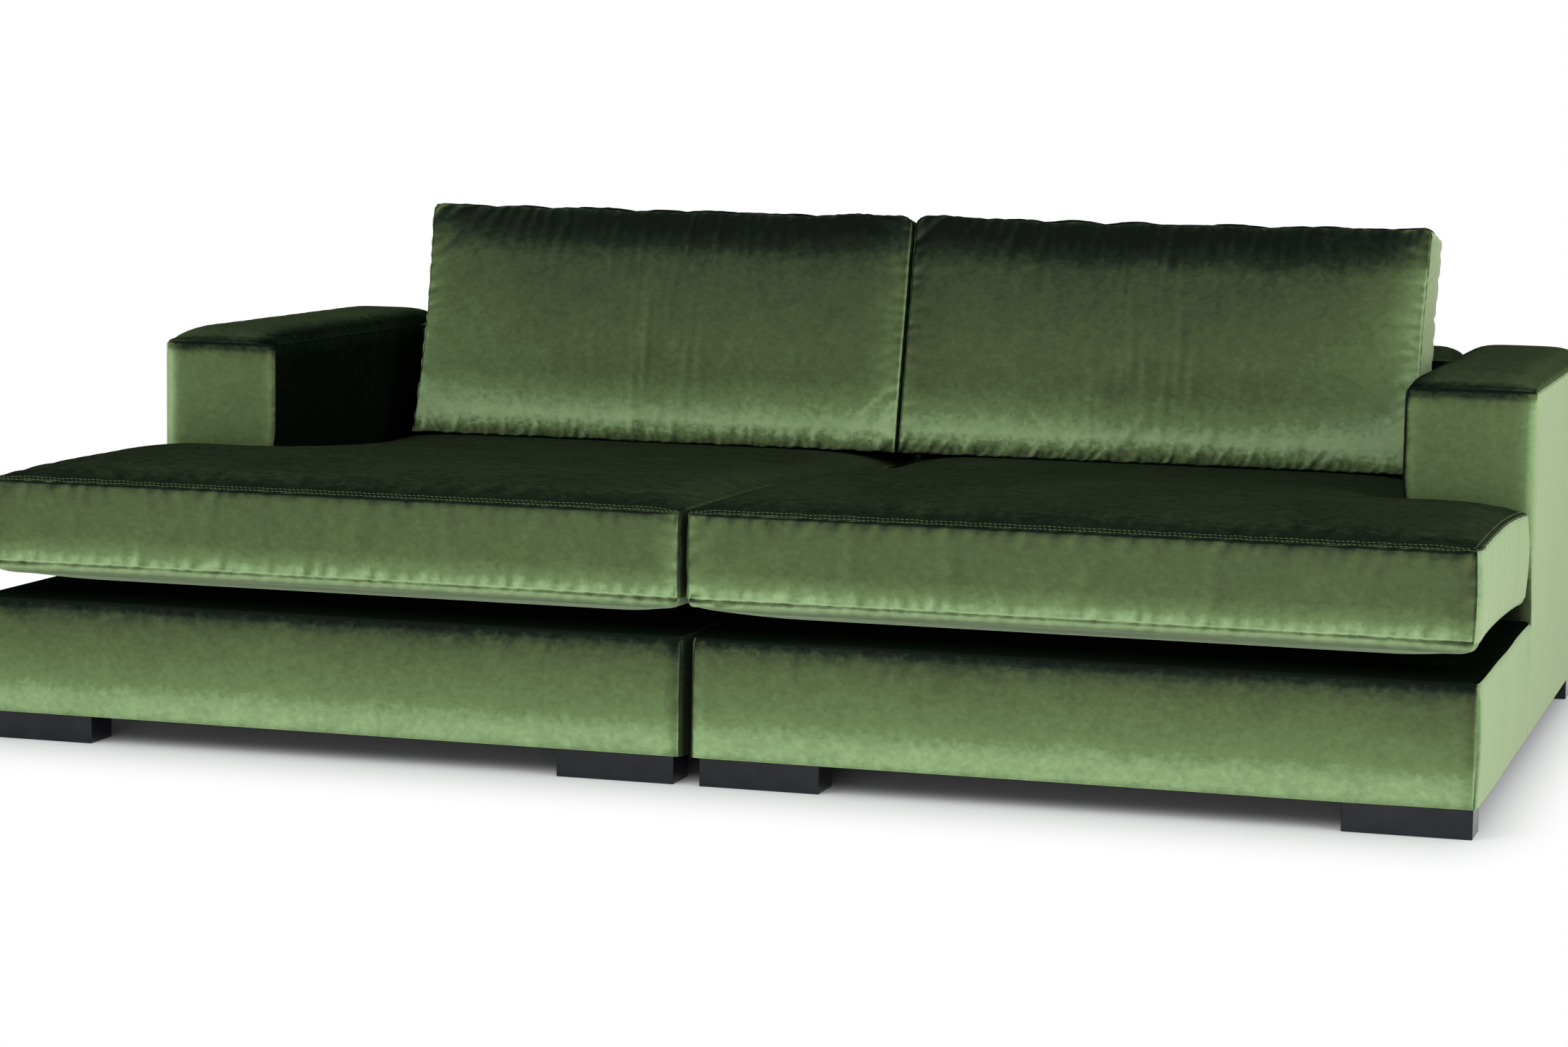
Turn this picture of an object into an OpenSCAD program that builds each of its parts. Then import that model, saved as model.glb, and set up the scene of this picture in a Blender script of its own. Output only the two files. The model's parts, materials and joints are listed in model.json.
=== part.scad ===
// Two-module lounge sofa: padded base with wings in front of low arms, loose seat and back cushions.
// The frame's origin is on the floor under the centre of the sofa, with +Z up and the front at -Y.
// The right-hand module is drawn on the +X side, and the left-hand one is its mirror image.

/* [Overall] */
// Width of one module
module_w = 1220; // [1000:10:1400]
// Gap between the two modules
module_gap = 12; // [10:1:20]
// Depth of the sofa from front to back
sofa_d = 1512; // [1400:4:1700]
// Height of the feet
foot_h = 45; // [35:1:90]

/* [Base] */
// Height of the padded base, from the feet to the deck
base_h = 193; // [170:1:240]
// Rounding of the upright front corners
base_corner_r = 15; // [8:1:20]
// Rounding of the top edges
base_edge_r = 12; // [6:1:16]

/* [Arms] */
// Width of an arm
arm_w = 215; // [170:5:260]
// Distance from the front of the base to the front of the arm
arm_setback = 700; // [560:10:800]
// Height of the arm's top seam above the floor
arm_seam_h = 615; // [560:5:680]
// Rise of the arm's crowned top above that seam
arm_crown = 25; // [12:1:35]
// Length over which the crown eases down to the arm's ends
arm_ease = 80; // [40:5:120]

/* [Back frame] */
// Thickness of the back frame
back_t = 120; // [100:5:160]
// How far the back frame's top seam lies below the arm's
back_seam_drop = 3; // [0:1:30]
// Rise of the back frame's crowned top
back_crown = 24; // [10:1:35]
// Length over which its crown eases down to the ends
back_ease = 45; // [20:5:80]

/* [Covers and padding] */
// Thickness of the frame covers, velvet with bonded wadding
cover_t = 8; // [5:0.5:12]
// Thickness of the dust cover under the frame
dust_t = 1; // [0.5:0.5:2]
// How far the dust cover's edge stays inside the outer faces
dust_inset = 6; // [4:1:20]
// Thickness of the pad on the webbing
deck_pad_t = 20; // [10:1:30]
// Thickness of the arm and back top pads at their edges
top_pad_edge = 7; // [3:1:12]

/* [Timber frame] */
// Thickness of the base rails
rail_t = 30; // [20:1:38]
// Thickness of the arm's side and end panels
panel_t = 15; // [12:1:18]
// Thickness of the board on top of the arm
board_t = 18; // [12:1:25]
// Thickness of the back's front and rear panels
back_panel_t = 9; // [6:1:12]
// Thickness of the back's ribs
rib_t = 18; // [12:1:25]
// Number of ribs in each back
rib_count = 3; // [2:1:5]
// Length of a foot block
block_w = 120; // [90:5:140]
// Depth of a foot block
block_d = 50; // [45:1:60]
// Height of a foot block
block_h = 60; // [50:5:100]

/* [Webbing] */
// Width of a strap
strap_w = 60; // [40:5:70]
// Thickness of a strap
strap_t = 2.5; // [1.5:0.5:4]
// Number of straps from front to back
long_strap_count = 7; // [4:1:10]
// Number of straps from side to side
cross_strap_count = 11; // [6:1:14]
// Number of short straps in the wing
wing_strap_count = 2; // [1:1:2]

/* [Feet] */
// Width of a foot
foot_w = 195; // [150:5:210]
// Depth of a foot
foot_d = 75; // [60:1:95]
// Distance from the base's front face to the foot's
foot_front_set = 8; // [4:1:15]
// Distance from the rear face to the rear foot's
foot_rear_set = 8; // [4:1:15]
// Distance from the module's outer face to the outer foot
foot_outer_set = 6; // [4:1:30]
// Distance from the module's inner face to the inner foot
foot_inner_set = 15; // [6:1:40]

/* [Fasteners] */
// Radius of a frame bolt's shank
bolt_r = 4; // [3:0.5:5]
// Corner radius of the hexagonal bolt head and nut
bolt_hex_r = 7.5; // [6.5:0.5:9]
// Height of a bolt head
bolt_head_h = 5.5; // [4:0.5:7]
// Height of a nut
nut_h = 6.5; // [5:0.5:8]
// Length of bolt that stands past the nut
bolt_tail = 3; // [1:1:6]
// Height of the bolt line above the floor
bolt_z = 150; // [130:5:170]
// Radius of a foot screw's shank
foot_screw_r = 3.5; // [2.5:0.5:4.5]
// Radius of a foot screw's head
foot_screw_head_r = 8; // [6:0.5:9]
// Height of a foot screw's head
foot_screw_head_h = 5; // [3:0.5:6]
// Depth of the recess for that head in the foot
foot_recess = 15; // [10:1:25]
// How far a foot screw reaches into its block
foot_screw_bite = 40; // [25:1:45]
// Distance between the two screws of a foot
foot_screw_gap = 80; // [50:5:90]
// Distance from the sofa's front or rear face to the screws
foot_screw_line = 56; // [52:1:60]

/* [Connectors] */
// Radius of a connector dowel
dowel_r = 10; // [6:1:14]
// Wall of the connector sleeve
sleeve_wall = 4; // [2:0.5:6]
// Radius of the collars
collar_r = 22; // [19:1:28]
// Thickness of a collar
collar_t = 3; // [2:0.5:4]
// Height of the connectors above the floor
connector_z = 130; // [110:5:150]
// How far the dowel reaches into the sleeve
dowel_reach = 30; // [15:1:38]

/* [Seat cushions] */
// Height of the bottom seam above the deck
seat_bottom_rise = 53; // [40:1:70]
// Height of the boxing between the seams
seat_boxing = 137; // [110:1:150]
// Rise of the crowned top above its seam
seat_crown = 26; // [15:1:35]
// Distance over which the crown rises
seat_crown_run = 45; // [30:1:70]
// Distance over which the bottom rounds down to the deck
seat_bottom_run = 55; // [40:1:70]
// How far the top falls where the back cushion weighs on it
seat_fall = 35; // [15:1:45]
// Radius of the cushion's corners in plan
seat_corner_r = 34; // [20:1:50]
// How far the sides swell between the seams
seat_swell = 4; // [2:0.5:6]
// How far the sides draw in between the corners
seat_draw = 5; // [2:0.5:8]
// Clearance from the cushion to the arm and the back
seat_clear = 3; // [2:0.5:6]
// Distance from the base's front face to the cushion's
seat_front_set = 14; // [4:1:30]
// Distance from the base's outer face to the cushion's
seat_outer_set = 4; // [2:1:12]
// Thickness of cover and fibre wrap round the foam core
seat_wrap = 45; // [36:1:60]
// Gap between the two seat cushions
seat_gap = 8; // [4:1:12]
// How far the gap between them lies to the left at the front and to the right at the back
split_drift = 14; // [8:1:16]

/* [Back cushions] */
// Distance from the right-hand back cushion to the arm beside it
pillow_arm_gap = 36; // [30:1:60]
// Height of its front face, measured along the slope
pillow_h = 449; // [380:1:480]
// Thickness of its side panels
pillow_t = 145; // [120:1:160]
// Angle at which it leans back
pillow_lean = 13.5; // [10:0.5:16]
// Swell of the front face
pillow_crown = 38; // [20:1:50]
// Swell of the top
pillow_top_crown = 10; // [4:1:16]
// Swell of the side panels
pillow_side_crown = 6; // [3:1:10]
// How far its edges draw in between the corners
pillow_draw = 7; // [3:1:10]
// Distance of the seam between the back cushions from the centre
pillow_split = 11; // [8:1:12]
// Gap between the two back cushions
pillow_gap = 4; // [2:0.5:6]
// Thickness of cover and fibre wrap round its core
pillow_wrap = 26; // [20:1:34]

/* [Hidden] */
$fn = 48;
crown_fn = 180;

velvet = [0.24, 0.36, 0.17];
timber = [0.78, 0.62, 0.42];
plywood = [0.70, 0.55, 0.38];
foam = [0.90, 0.86, 0.70];
steel = [0.62, 0.63, 0.65];
gloss_black = [0.03, 0.03, 0.035];

// How far a cutting shape runs past what it cuts
overrun = 2;
// Radial clearance of bolts, screws and dowels in their holes
bolt_clear = 0.5;
thread_clear = 0.1;
dowel_fit = 0.2;
sleeve_fit = 0.3;
recess_clear = 1;
dowel_hole_r = dowel_r + dowel_fit;
sleeve_r = dowel_r + sleeve_fit + sleeve_wall;
sleeve_hole_r = sleeve_r + dowel_fit;
// Gap between separate pieces of one node, so that each stays its own solid
piece_gap = 0.2;
// Gap between a cushion and what it rests on
rest_gap = 0.3;
lean_gap = 1;
core_clear = 0.5;
// Height of the easing's ends above the seam, and of its middle above the crown
crown_lip = 2;

// Faces of the right-hand module
inner_x = module_gap / 2;
outer_x = inner_x + module_w;
front_y = -sofa_d / 2;
rear_y = sofa_d / 2;
arm_x = outer_x - arm_w;
arm_y = front_y + arm_setback;
back_y = rear_y - back_t;
deck_z = foot_h + base_h;
frame_z = foot_h + dust_t;

// Inside faces of the covers
base_x0 = inner_x + cover_t;
base_x1 = outer_x - cover_t;
base_y0 = front_y + cover_t;
body_x1 = arm_x - cover_t;
body_y1 = back_y - cover_t;
wing_y1 = arm_y - cover_t;
arm_x0 = arm_x + cover_t;
arm_y0 = arm_y + cover_t;
back_y0 = back_y + cover_t;
rear_y1 = rear_y - cover_t;

// Heights of the layers on the base rails
pad_z = deck_z - cover_t - deck_pad_t;
rail_z = pad_z - 2 * strap_t - piece_gap;
arm_board_z = arm_seam_h - cover_t - top_pad_edge - board_t;
arm_pad_z = arm_board_z + board_t;
back_seam_h = arm_seam_h - back_seam_drop;
back_pad_z = back_seam_h - cover_t - top_pad_edge;

// Places of bolts and connectors, as shares of the lengths that they hold together
arm_bolt_shares = [0.12, 0.45, 0.85];
back_bolt_shares = [0.2, 0.38, 0.8];
connector_shares = [0.2, 0.82];
wing_rail_share = 0.62;
arm_bolt_ys = [for (s = arm_bolt_shares) arm_y + s * (back_y - arm_y)];
back_bolt_xs = [for (s = back_bolt_shares) inner_x + s * (arm_x - inner_x)];
connector_ys = [for (s = connector_shares) front_y + s * (back_y - front_y)];
cross_rail_ys = [
    base_y0 + wing_rail_share * (arm_y - base_y0), (arm_bolt_ys[0] + arm_bolt_ys[1]) / 2
];
arm_grip = rail_t + 2 * cover_t + panel_t;
back_grip = rail_t + 2 * cover_t + back_panel_t;

// Centres of the feet, and the blocks that hold their screws
foot_inner_x = inner_x + foot_inner_set + foot_w / 2;
foot_outer_x = outer_x - foot_outer_set - foot_w / 2;
foot_front_y = front_y + foot_front_set + foot_d / 2;
foot_rear_y = rear_y - foot_rear_set - foot_d / 2;
screw_front_y = front_y + foot_screw_line;
screw_rear_y = rear_y - foot_screw_line;
foot_places = [
    [foot_inner_x, screw_front_y, base_y0 + rail_t],
    [foot_outer_x, screw_front_y, base_y0 + rail_t],
    [foot_inner_x, screw_rear_y, rear_y1 - back_panel_t - block_d],
    [foot_outer_x, screw_rear_y, rear_y1 - panel_t - block_d]
];

module slab(x0, x1, y0, y1, z0, z1) {
    translate([x0, y0, z0]) cube([x1 - x0, y1 - y0, z1 - z0]);
}

module left() {
    mirror([1, 0, 0]) children();
}

// Starting faces of count equal strips, spread evenly between a and b
function spread(a, b, count, width) =
    [for (i = [1 : count]) a + i * (b - a) / (count + 1) - width / 2];

// Bolt along +Z from the underside of its head, with a nut at the end of its grip
module bolt(grip) {
    translate([0, 0, -bolt_head_h]) cylinder(r = bolt_hex_r, h = bolt_head_h, $fn = 6);
    translate([0, 0, -bolt_head_h / 2])
        cylinder(r = bolt_r, h = bolt_head_h / 2 + grip + nut_h + bolt_tail);
    translate([0, 0, grip]) difference() {
        cylinder(r = bolt_hex_r, h = nut_h, $fn = 6);
        translate([0, 0, -overrun]) cylinder(r = bolt_r + thread_clear, h = nut_h + 2 * overrun);
    }
}

// Holes for the bolts that hold the arm to the base
module arm_bolt_bores() {
    for (y = arm_bolt_ys)
        translate([body_x1 - rail_t - overrun, y, bolt_z]) rotate([0, 90, 0])
            cylinder(r = bolt_r + bolt_clear, h = arm_grip + 2 * overrun);
}

// Holes for the bolts that hold the back to the base
module back_bolt_bores() {
    for (x = back_bolt_xs)
        translate([x, body_y1 - rail_t - overrun, bolt_z]) rotate([-90, 0, 0])
            cylinder(r = bolt_r + bolt_clear, h = back_grip + 2 * overrun);
}

// Holes through the inner side of the base for the connectors
module connector_bores(radius) {
    for (y = connector_ys)
        translate([inner_x - overrun, y, connector_z]) rotate([0, 90, 0])
            cylinder(r = radius, h = cover_t + rail_t + 2 * overrun);
}

// Upright holes for the foot screws
module foot_bores(radius, z0, z1) {
    for (p = foot_places, side = [-1, 1])
        translate([p[0] + side * foot_screw_gap / 2, p[1], z0]) cylinder(r = radius, h = z1 - z0);
}

// L-shaped plan of the base, with its faces moved in by inset
module base_plan(inset) {
    translate([inner_x + inset, front_y + inset])
        square([module_w - 2 * inset, arm_setback - 2 * inset]);
    translate([inner_x + inset, front_y + inset])
        square([arm_x - inner_x - 2 * inset, back_y - front_y - 2 * inset]);
}

// Waste outside a quarter round of radius r, for an edge at the origin that faces -X and -Y
module corner_waste(r) {
    difference() {
        translate([-overrun, -overrun]) square(r + overrun);
        translate([r, r]) circle(r);
    }
}

module base_front_rail() {
    color(timber) slab(base_x0, base_x1, base_y0, base_y0 + rail_t, frame_z, rail_z);
}

module base_rear_rail() {
    color(timber) difference() {
        slab(base_x0 + rail_t, body_x1 - rail_t, body_y1 - rail_t, body_y1, frame_z, rail_z);
        back_bolt_bores();
    }
}

module base_inner_rail(radius) {
    color(timber) difference() {
        slab(base_x0, base_x0 + rail_t, base_y0 + rail_t, body_y1, frame_z, rail_z);
        connector_bores(radius);
    }
}

module base_arm_rail() {
    color(timber) difference() {
        slab(body_x1 - rail_t, body_x1, base_y0 + rail_t, body_y1, frame_z, rail_z);
        arm_bolt_bores();
    }
}

module wing_rails() {
    color(timber) {
        slab(base_x1 - rail_t, base_x1, base_y0 + rail_t, wing_y1 - rail_t - piece_gap, frame_z,
            rail_z);
        slab(body_x1, base_x1, wing_y1 - rail_t, wing_y1, frame_z, rail_z);
    }
}

module cross_rails() {
    color(timber)
        for (y = cross_rail_ys)
            slab(base_x0 + rail_t, body_x1 - rail_t, y - rail_t / 2, y + rail_t / 2, frame_z,
                rail_z);
}

module foot_blocks() {
    color(timber) difference() {
        for (p = foot_places)
            slab(p[0] - block_w / 2, p[0] + block_w / 2, p[2], p[2] + block_d, frame_z,
                frame_z + block_h);
        foot_bores(foot_screw_r + thread_clear, frame_z - overrun,
            frame_z + foot_screw_bite + overrun);
    }
}

module webbing() {
    color("dimgray") {
        for (x = spread(base_x0 + rail_t, body_x1 - rail_t, long_strap_count, strap_w))
            slab(x, x + strap_w, base_y0, body_y1, rail_z, rail_z + strap_t);
        for (y = spread(base_y0 + rail_t, body_y1 - rail_t, cross_strap_count, strap_w))
            slab(base_x0, body_x1, y, y + strap_w, pad_z - strap_t, pad_z);
        for (x = spread(body_x1, base_x1 - rail_t, wing_strap_count, strap_w))
            slab(x, x + strap_w, base_y0, wing_y1, rail_z, rail_z + strap_t);
    }
}

module deck_pad() {
    color(foam) translate([0, 0, pad_z]) linear_extrude(deck_pad_t) base_plan(cover_t);
}

module base_cover(radius) {
    color(velvet) difference() {
        translate([0, 0, frame_z]) linear_extrude(deck_z - frame_z) base_plan(0);
        translate([0, 0, frame_z - overrun])
            linear_extrude(deck_z - cover_t - frame_z + overrun) base_plan(cover_t);
        // upright front corners
        translate([inner_x, front_y, frame_z - overrun]) linear_extrude(base_h + 2 * overrun)
            corner_waste(base_corner_r);
        translate([outer_x, front_y, frame_z - overrun]) mirror([1, 0, 0])
            linear_extrude(base_h + 2 * overrun) corner_waste(base_corner_r);
        // top edges at the front, at the wing's side and at the other module
        translate([inner_x - overrun, front_y, deck_z]) rotate([90, 0, 90]) mirror([0, 1, 0])
            linear_extrude(module_w + 2 * overrun) corner_waste(base_edge_r);
        translate([inner_x, back_y + overrun, deck_z]) rotate([90, 0, 0]) mirror([0, 1, 0])
            linear_extrude(back_y - front_y + 2 * overrun) corner_waste(base_edge_r);
        translate([outer_x, arm_y + overrun, deck_z]) rotate([90, 0, 0]) mirror([0, 1, 0])
            mirror([1, 0, 0]) linear_extrude(arm_setback + 2 * overrun) corner_waste(base_edge_r);
        arm_bolt_bores();
        back_bolt_bores();
        connector_bores(radius);
    }
}

module dust_cover() {
    color("black") difference() {
        slab(inner_x + dust_inset, outer_x - dust_inset, front_y + dust_inset,
            rear_y - dust_inset, foot_h, frame_z);
        foot_bores(foot_screw_r + bolt_clear, foot_h - overrun, frame_z + overrun);
    }
}

// Slopes that ease a crown down to its ends, as shares of the easing length and of the rise
ease_shares = [[0, 0], [0.25, 0.5], [0.6, 0.85], [1, 1]];
function ease_points(from, step, h, rise) =
    [for (p = ease_shares) [from + p[0] * step, h + p[1] * rise]];

// Upright block with a top that is crowned across its width and eased down at its ends:
// length along X and width along Y from the origin, seam height h, then the crown's rise
module crowned_block(length, width, h, rise, ease) {
    top = h + rise;
    crown_r = (width * width / 4 + rise * rise) / (2 * rise);
    far_points = ease_points(length, -ease, h + crown_lip, rise);
    intersection() {
        translate([0, width, 0]) rotate([90, 0, 0]) linear_extrude(width) polygon(concat(
            [[length, 0], [0, 0]], ease_points(0, ease, h + crown_lip, rise),
            [for (i = [len(far_points) - 1 : -1 : 0]) far_points[i]]
        ));
        rotate([90, 0, 90]) linear_extrude(length) {
            square([width, h]);
            intersection() {
                translate([width / 2, top - crown_r]) circle(crown_r, $fn = crown_fn);
                square([width, top + overrun]);
            }
        }
    }
}

// Outer form of the arm with its faces moved in by inset, from height z0
module arm_form(inset, z0) {
    translate([outer_x - inset, arm_y + inset, z0]) rotate([0, 0, 90])
        crowned_block(rear_y - arm_y - 2 * inset, arm_w - 2 * inset, arm_seam_h - inset - z0,
            arm_crown, arm_ease);
}

// Outer form of the back frame with its faces moved in by inset, from height z0
module back_form(inset, z0) {
    translate([inner_x + inset, back_y + inset, z0])
        crowned_block(arm_x - inner_x - 2 * inset, back_t - 2 * inset, back_seam_h - inset - z0,
            back_crown, back_ease);
}

module arm_panels() {
    color(plywood) {
        difference() {
            slab(arm_x0, arm_x0 + panel_t, arm_y0, rear_y1, frame_z, arm_board_z);
            arm_bolt_bores();
        }
        slab(base_x1 - panel_t, base_x1, arm_y0, rear_y1, frame_z, arm_board_z);
        for (y = [arm_y0, rear_y1 - panel_t])
            slab(arm_x0 + panel_t + piece_gap, base_x1 - panel_t - piece_gap, y, y + panel_t,
                frame_z, arm_board_z);
    }
}

module arm_top_board() {
    color(plywood) slab(arm_x0, base_x1, arm_y0, rear_y1, arm_board_z, arm_pad_z);
}

module arm_top_pad() {
    color(foam) arm_form(cover_t, arm_pad_z);
}

module arm_cover() {
    color(velvet) difference() {
        arm_form(0, frame_z);
        arm_form(cover_t, frame_z - overrun);
        arm_bolt_bores();
    }
}

module back_ribs() {
    color(plywood) for (i = [0 : rib_count - 1]) {
        x = base_x0 + i * (body_x1 - base_x0 - rib_t) / (rib_count - 1);
        slab(x, x + rib_t, back_y0 + back_panel_t, rear_y1 - back_panel_t, frame_z, back_pad_z);
    }
}

module back_panels() {
    color(plywood) {
        difference() {
            slab(base_x0, body_x1, back_y0, back_y0 + back_panel_t, frame_z, back_pad_z);
            back_bolt_bores();
        }
        slab(base_x0, body_x1, rear_y1 - back_panel_t, rear_y1, frame_z, back_pad_z);
    }
}

module back_top_pad() {
    color(foam) back_form(cover_t, back_pad_z);
}

module back_cover() {
    color(velvet) difference() {
        back_form(0, frame_z);
        back_form(cover_t, frame_z - overrun);
        back_bolt_bores();
    }
}

module frame_bolts() {
    color(steel) {
        for (y = arm_bolt_ys)
            translate([body_x1 - rail_t, y, bolt_z]) rotate([0, 90, 0]) bolt(arm_grip);
        for (x = back_bolt_xs)
            translate([x, body_y1 - rail_t, bolt_z]) rotate([-90, 0, 0]) bolt(back_grip);
    }
}

module foot(x, y) {
    color(gloss_black) difference() {
        slab(x - foot_w / 2, x + foot_w / 2, y - foot_d / 2, y + foot_d / 2, 0, foot_h);
        foot_bores(foot_screw_r + bolt_clear, -overrun, foot_h + overrun);
        foot_bores(foot_screw_head_r + recess_clear, -overrun, foot_recess);
    }
}

module foot_screws() {
    color(steel) {
        foot_bores(foot_screw_r, foot_recess - foot_screw_head_h / 2, frame_z + foot_screw_bite);
        foot_bores(foot_screw_head_r, foot_recess - foot_screw_head_h, foot_recess);
    }
}

// Dowels with collars, glued into the left-hand module
module connector_dowels() {
    color(steel) for (y = connector_ys) translate([0, y, connector_z]) rotate([0, 90, 0]) {
        translate([0, 0, collar_t - inner_x - dowel_reach])
            cylinder(r = dowel_r, h = inner_x - collar_t + dowel_reach + inner_x + cover_t + rail_t);
        translate([0, 0, inner_x - collar_t]) cylinder(r = collar_r, h = collar_t);
    }
}

// Sleeves with collars in the right-hand module, which the dowels push into
module connector_sleeves() {
    color(steel) for (y = connector_ys) translate([0, y, connector_z]) rotate([0, 90, 0])
        difference() {
            union() {
                translate([0, 0, inner_x - collar_t]) cylinder(r = collar_r, h = collar_t);
                translate([0, 0, inner_x - collar_t])
                    cylinder(r = sleeve_r, h = collar_t + cover_t + rail_t);
            }
            translate([0, 0, inner_x - collar_t - overrun])
                cylinder(r = dowel_r + sleeve_fit, h = collar_t + cover_t + rail_t + 2 * overrun);
        }
}

// Height share of a smooth step from 0 to 1
function eased(t) = t <= 0 ? 0 : t >= 1 ? 1 : (1 - cos(180 * t)) / 2;

// Faces of the seat cushion's L-shaped plan
seat_x0 = seat_gap / 2 + seat_swell;
seat_x1 = outer_x - seat_swell - seat_outer_set;
seat_y0 = front_y + seat_swell + seat_front_set;
seat_wing_y1 = arm_y - seat_swell - seat_clear;
seat_body_x1 = arm_x - seat_swell - seat_clear;
seat_body_y1 = back_y - seat_swell - seat_clear;
seat_bottom_seam = deck_z + seat_bottom_rise;
seat_seam_h = seat_bottom_seam + seat_boxing;
// Radius of the round at the arm's corner: twice the clearance keeps it off that corner
seat_notch_r = 2 * seat_clear;

// Corners of the plan in turn: place, direction towards the inside, angles of the arc, side of the arc
function seat_corners(side) = [
    [seat_x0 - side * split_drift, seat_y0, 1, 1, 180, 270, 1],
    [seat_x1, seat_y0, -1, 1, 270, 360, 1],
    [seat_x1, seat_wing_y1, -1, -1, 0, 90, 1],
    [seat_body_x1, seat_wing_y1, -1, -1, 270, 180, -1],
    [seat_body_x1, seat_body_y1, -1, -1, 0, 90, 1],
    [seat_x0 + side * split_drift, seat_body_y1, 1, -1, 90, 180, 1]
];
seat_edge_steps = [9, 6, 3, 7, 8, 11];
seat_edge_in = [[0, 1], [-1, 0], [0, -1], [-1, 0], [0, -1], [1, 0]];
corner_steps = 4;

function seat_arc(c, inset) =
    let (r = c[6] > 0 ? max(seat_corner_r - inset, seat_notch_r / 4) : seat_notch_r + max(inset, 0))
    [for (i = [0 : corner_steps]) let (a = c[4] + i * (c[5] - c[4]) / corner_steps) [
        c[0] + c[2] * (inset + c[6] * r) + r * cos(a),
        c[1] + c[3] * (inset + c[6] * r) + r * sin(a)
    ]];

// Plan of the seat cushion with its faces moved in by inset, sides drawn in between the corners
function seat_ring(side, inset) =
    let (arcs = [for (c = seat_corners(side)) seat_arc(c, inset)])
    [for (k = [0 : 5]) let (a = arcs[k][corner_steps], b = arcs[(k + 1) % 6][0]) each concat(
        arcs[k],
        [for (i = [1 : seat_edge_steps[k] - 1]) let (t = i / seat_edge_steps[k])
            a + t * (b - a) + seat_edge_in[k] * seat_draw * sin(180 * t)]
    )];

// Fall of the seat's top towards the back, and its height at a distance in from the seam
seat_fall_start = arm_y - arm_setback / 2;
seat_fall_end = back_y - 2 * seat_wrap - pillow_t;
function seat_seam_z(y) =
    seat_seam_h - seat_fall * eased((y - seat_fall_start) / (seat_fall_end - seat_fall_start));
function seat_top_z(y, inset) = seat_seam_z(y) + seat_crown * (1 - exp(-inset / seat_crown_run));
function seat_bottom_z(inset) =
    deck_z + rest_gap
    + (seat_bottom_seam - deck_z - rest_gap) * exp(-inset / seat_bottom_run);

// Distances of the rings in from the seam, as shares of the runs, and places down the boxing
top_ring_shares = [0.2, 0.7, 1.5, 2.6, 4];
bottom_ring_shares = [3.5, 2.3, 1.4, 0.7, 0.25];
boxing_shares = [0, 0.2, 0.5, 0.8, 1];

function seat_rings(side) = concat(
    [for (s = bottom_ring_shares) let (d = s * seat_bottom_run)
        [for (p = seat_ring(side, d))
            [p[0], p[1], s == max(bottom_ring_shares) ? deck_z + rest_gap : seat_bottom_z(d)]]],
    [for (s = boxing_shares) [for (p = seat_ring(side, -seat_swell * sin(180 * s)))
        [p[0], p[1], seat_bottom_seam + s * (seat_seam_z(p[1]) - seat_bottom_seam)]]],
    [for (s = top_ring_shares) let (d = s * seat_crown_run)
        [for (p = seat_ring(side, d)) [p[0], p[1], seat_top_z(p[1], d)]]]
);

// Closed skin over a stack of rings, with a point that closes each end
module skin(rings, first, last) {
    n = len(rings[0]);
    m = len(rings);
    points = concat([for (ring = rings) each ring], [first, last]);
    sides = [for (j = [0 : m - 2], i = [0 : n - 1]) let (
            a = j * n + i, b = j * n + (i + 1) % n, c = a + n, d = b + n)
        each [[a, c, b], [b, c, d]]];
    ends = [for (i = [0 : n - 1]) let (b = (i + 1) % n)
        each [[m * n, i, b], [m * n + 1, (m - 1) * n + b, (m - 1) * n + i]]];
    polyhedron(points, concat(sides, ends));
}

seat_centre_x = (inner_x + arm_x) / 2;
seat_centre_y = (front_y + arm_y) / 2;

module seat_skin(side) {
    skin(seat_rings(side), [seat_centre_x, seat_centre_y, deck_z + rest_gap],
        [seat_centre_x, seat_centre_y, seat_seam_h + seat_crown]);
}

// Foam block in the seat cushion, grown by extra on every face
module seat_block(extra) {
    x0 = seat_x0 + split_drift + seat_wrap - extra;
    y0 = seat_y0 + seat_wrap - extra;
    z0 = seat_bottom_seam + seat_wrap / 4 - extra;
    z1 = seat_seam_h - seat_fall - core_clear + extra;
    slab(x0, seat_x1 - seat_wrap + extra, y0, seat_wing_y1 - seat_wrap + extra, z0, z1);
    slab(x0, seat_body_x1 - seat_wrap + extra, y0, seat_body_y1 - seat_wrap + extra, z0, z1);
}

module seat_core() {
    color(foam) seat_block(0);
}

module seat_cover(side) {
    color(velvet) difference() {
        seat_skin(side);
        seat_block(core_clear);
    }
}

// Side view of the back cushion, as [y, z]: it stands on the seat and leans on the back's top edge
lean_up = [sin(pillow_lean), cos(pillow_lean)];
lean_out = [-cos(pillow_lean), sin(pillow_lean)];
pillow_z = seat_seam_h + seat_crown - seat_fall + rest_gap;
pillow_rear_foot = back_y - lean_gap - (back_seam_h - pillow_z) * tan(pillow_lean);
pillow_front_foot = pillow_rear_foot - pillow_t / cos(pillow_lean);
pillow_front_low = [pillow_front_foot, pillow_z];
pillow_front_top = pillow_front_low + pillow_h * lean_up;
pillow_rear_top = pillow_front_top - pillow_t * lean_out;
pillow_rear_low = [pillow_rear_foot, pillow_z];
pillow_mid = (pillow_front_low + pillow_front_top + pillow_rear_top + pillow_rear_low) / 4;
front_steps = 10;
top_steps = 4;
rear_steps = 5;
foot_steps = 2;
// Shape of the front's swell: below 1 is fuller, and the share that the foot starts with
swell_power = 0.7;
foot_fullness = 0.15;

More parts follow.
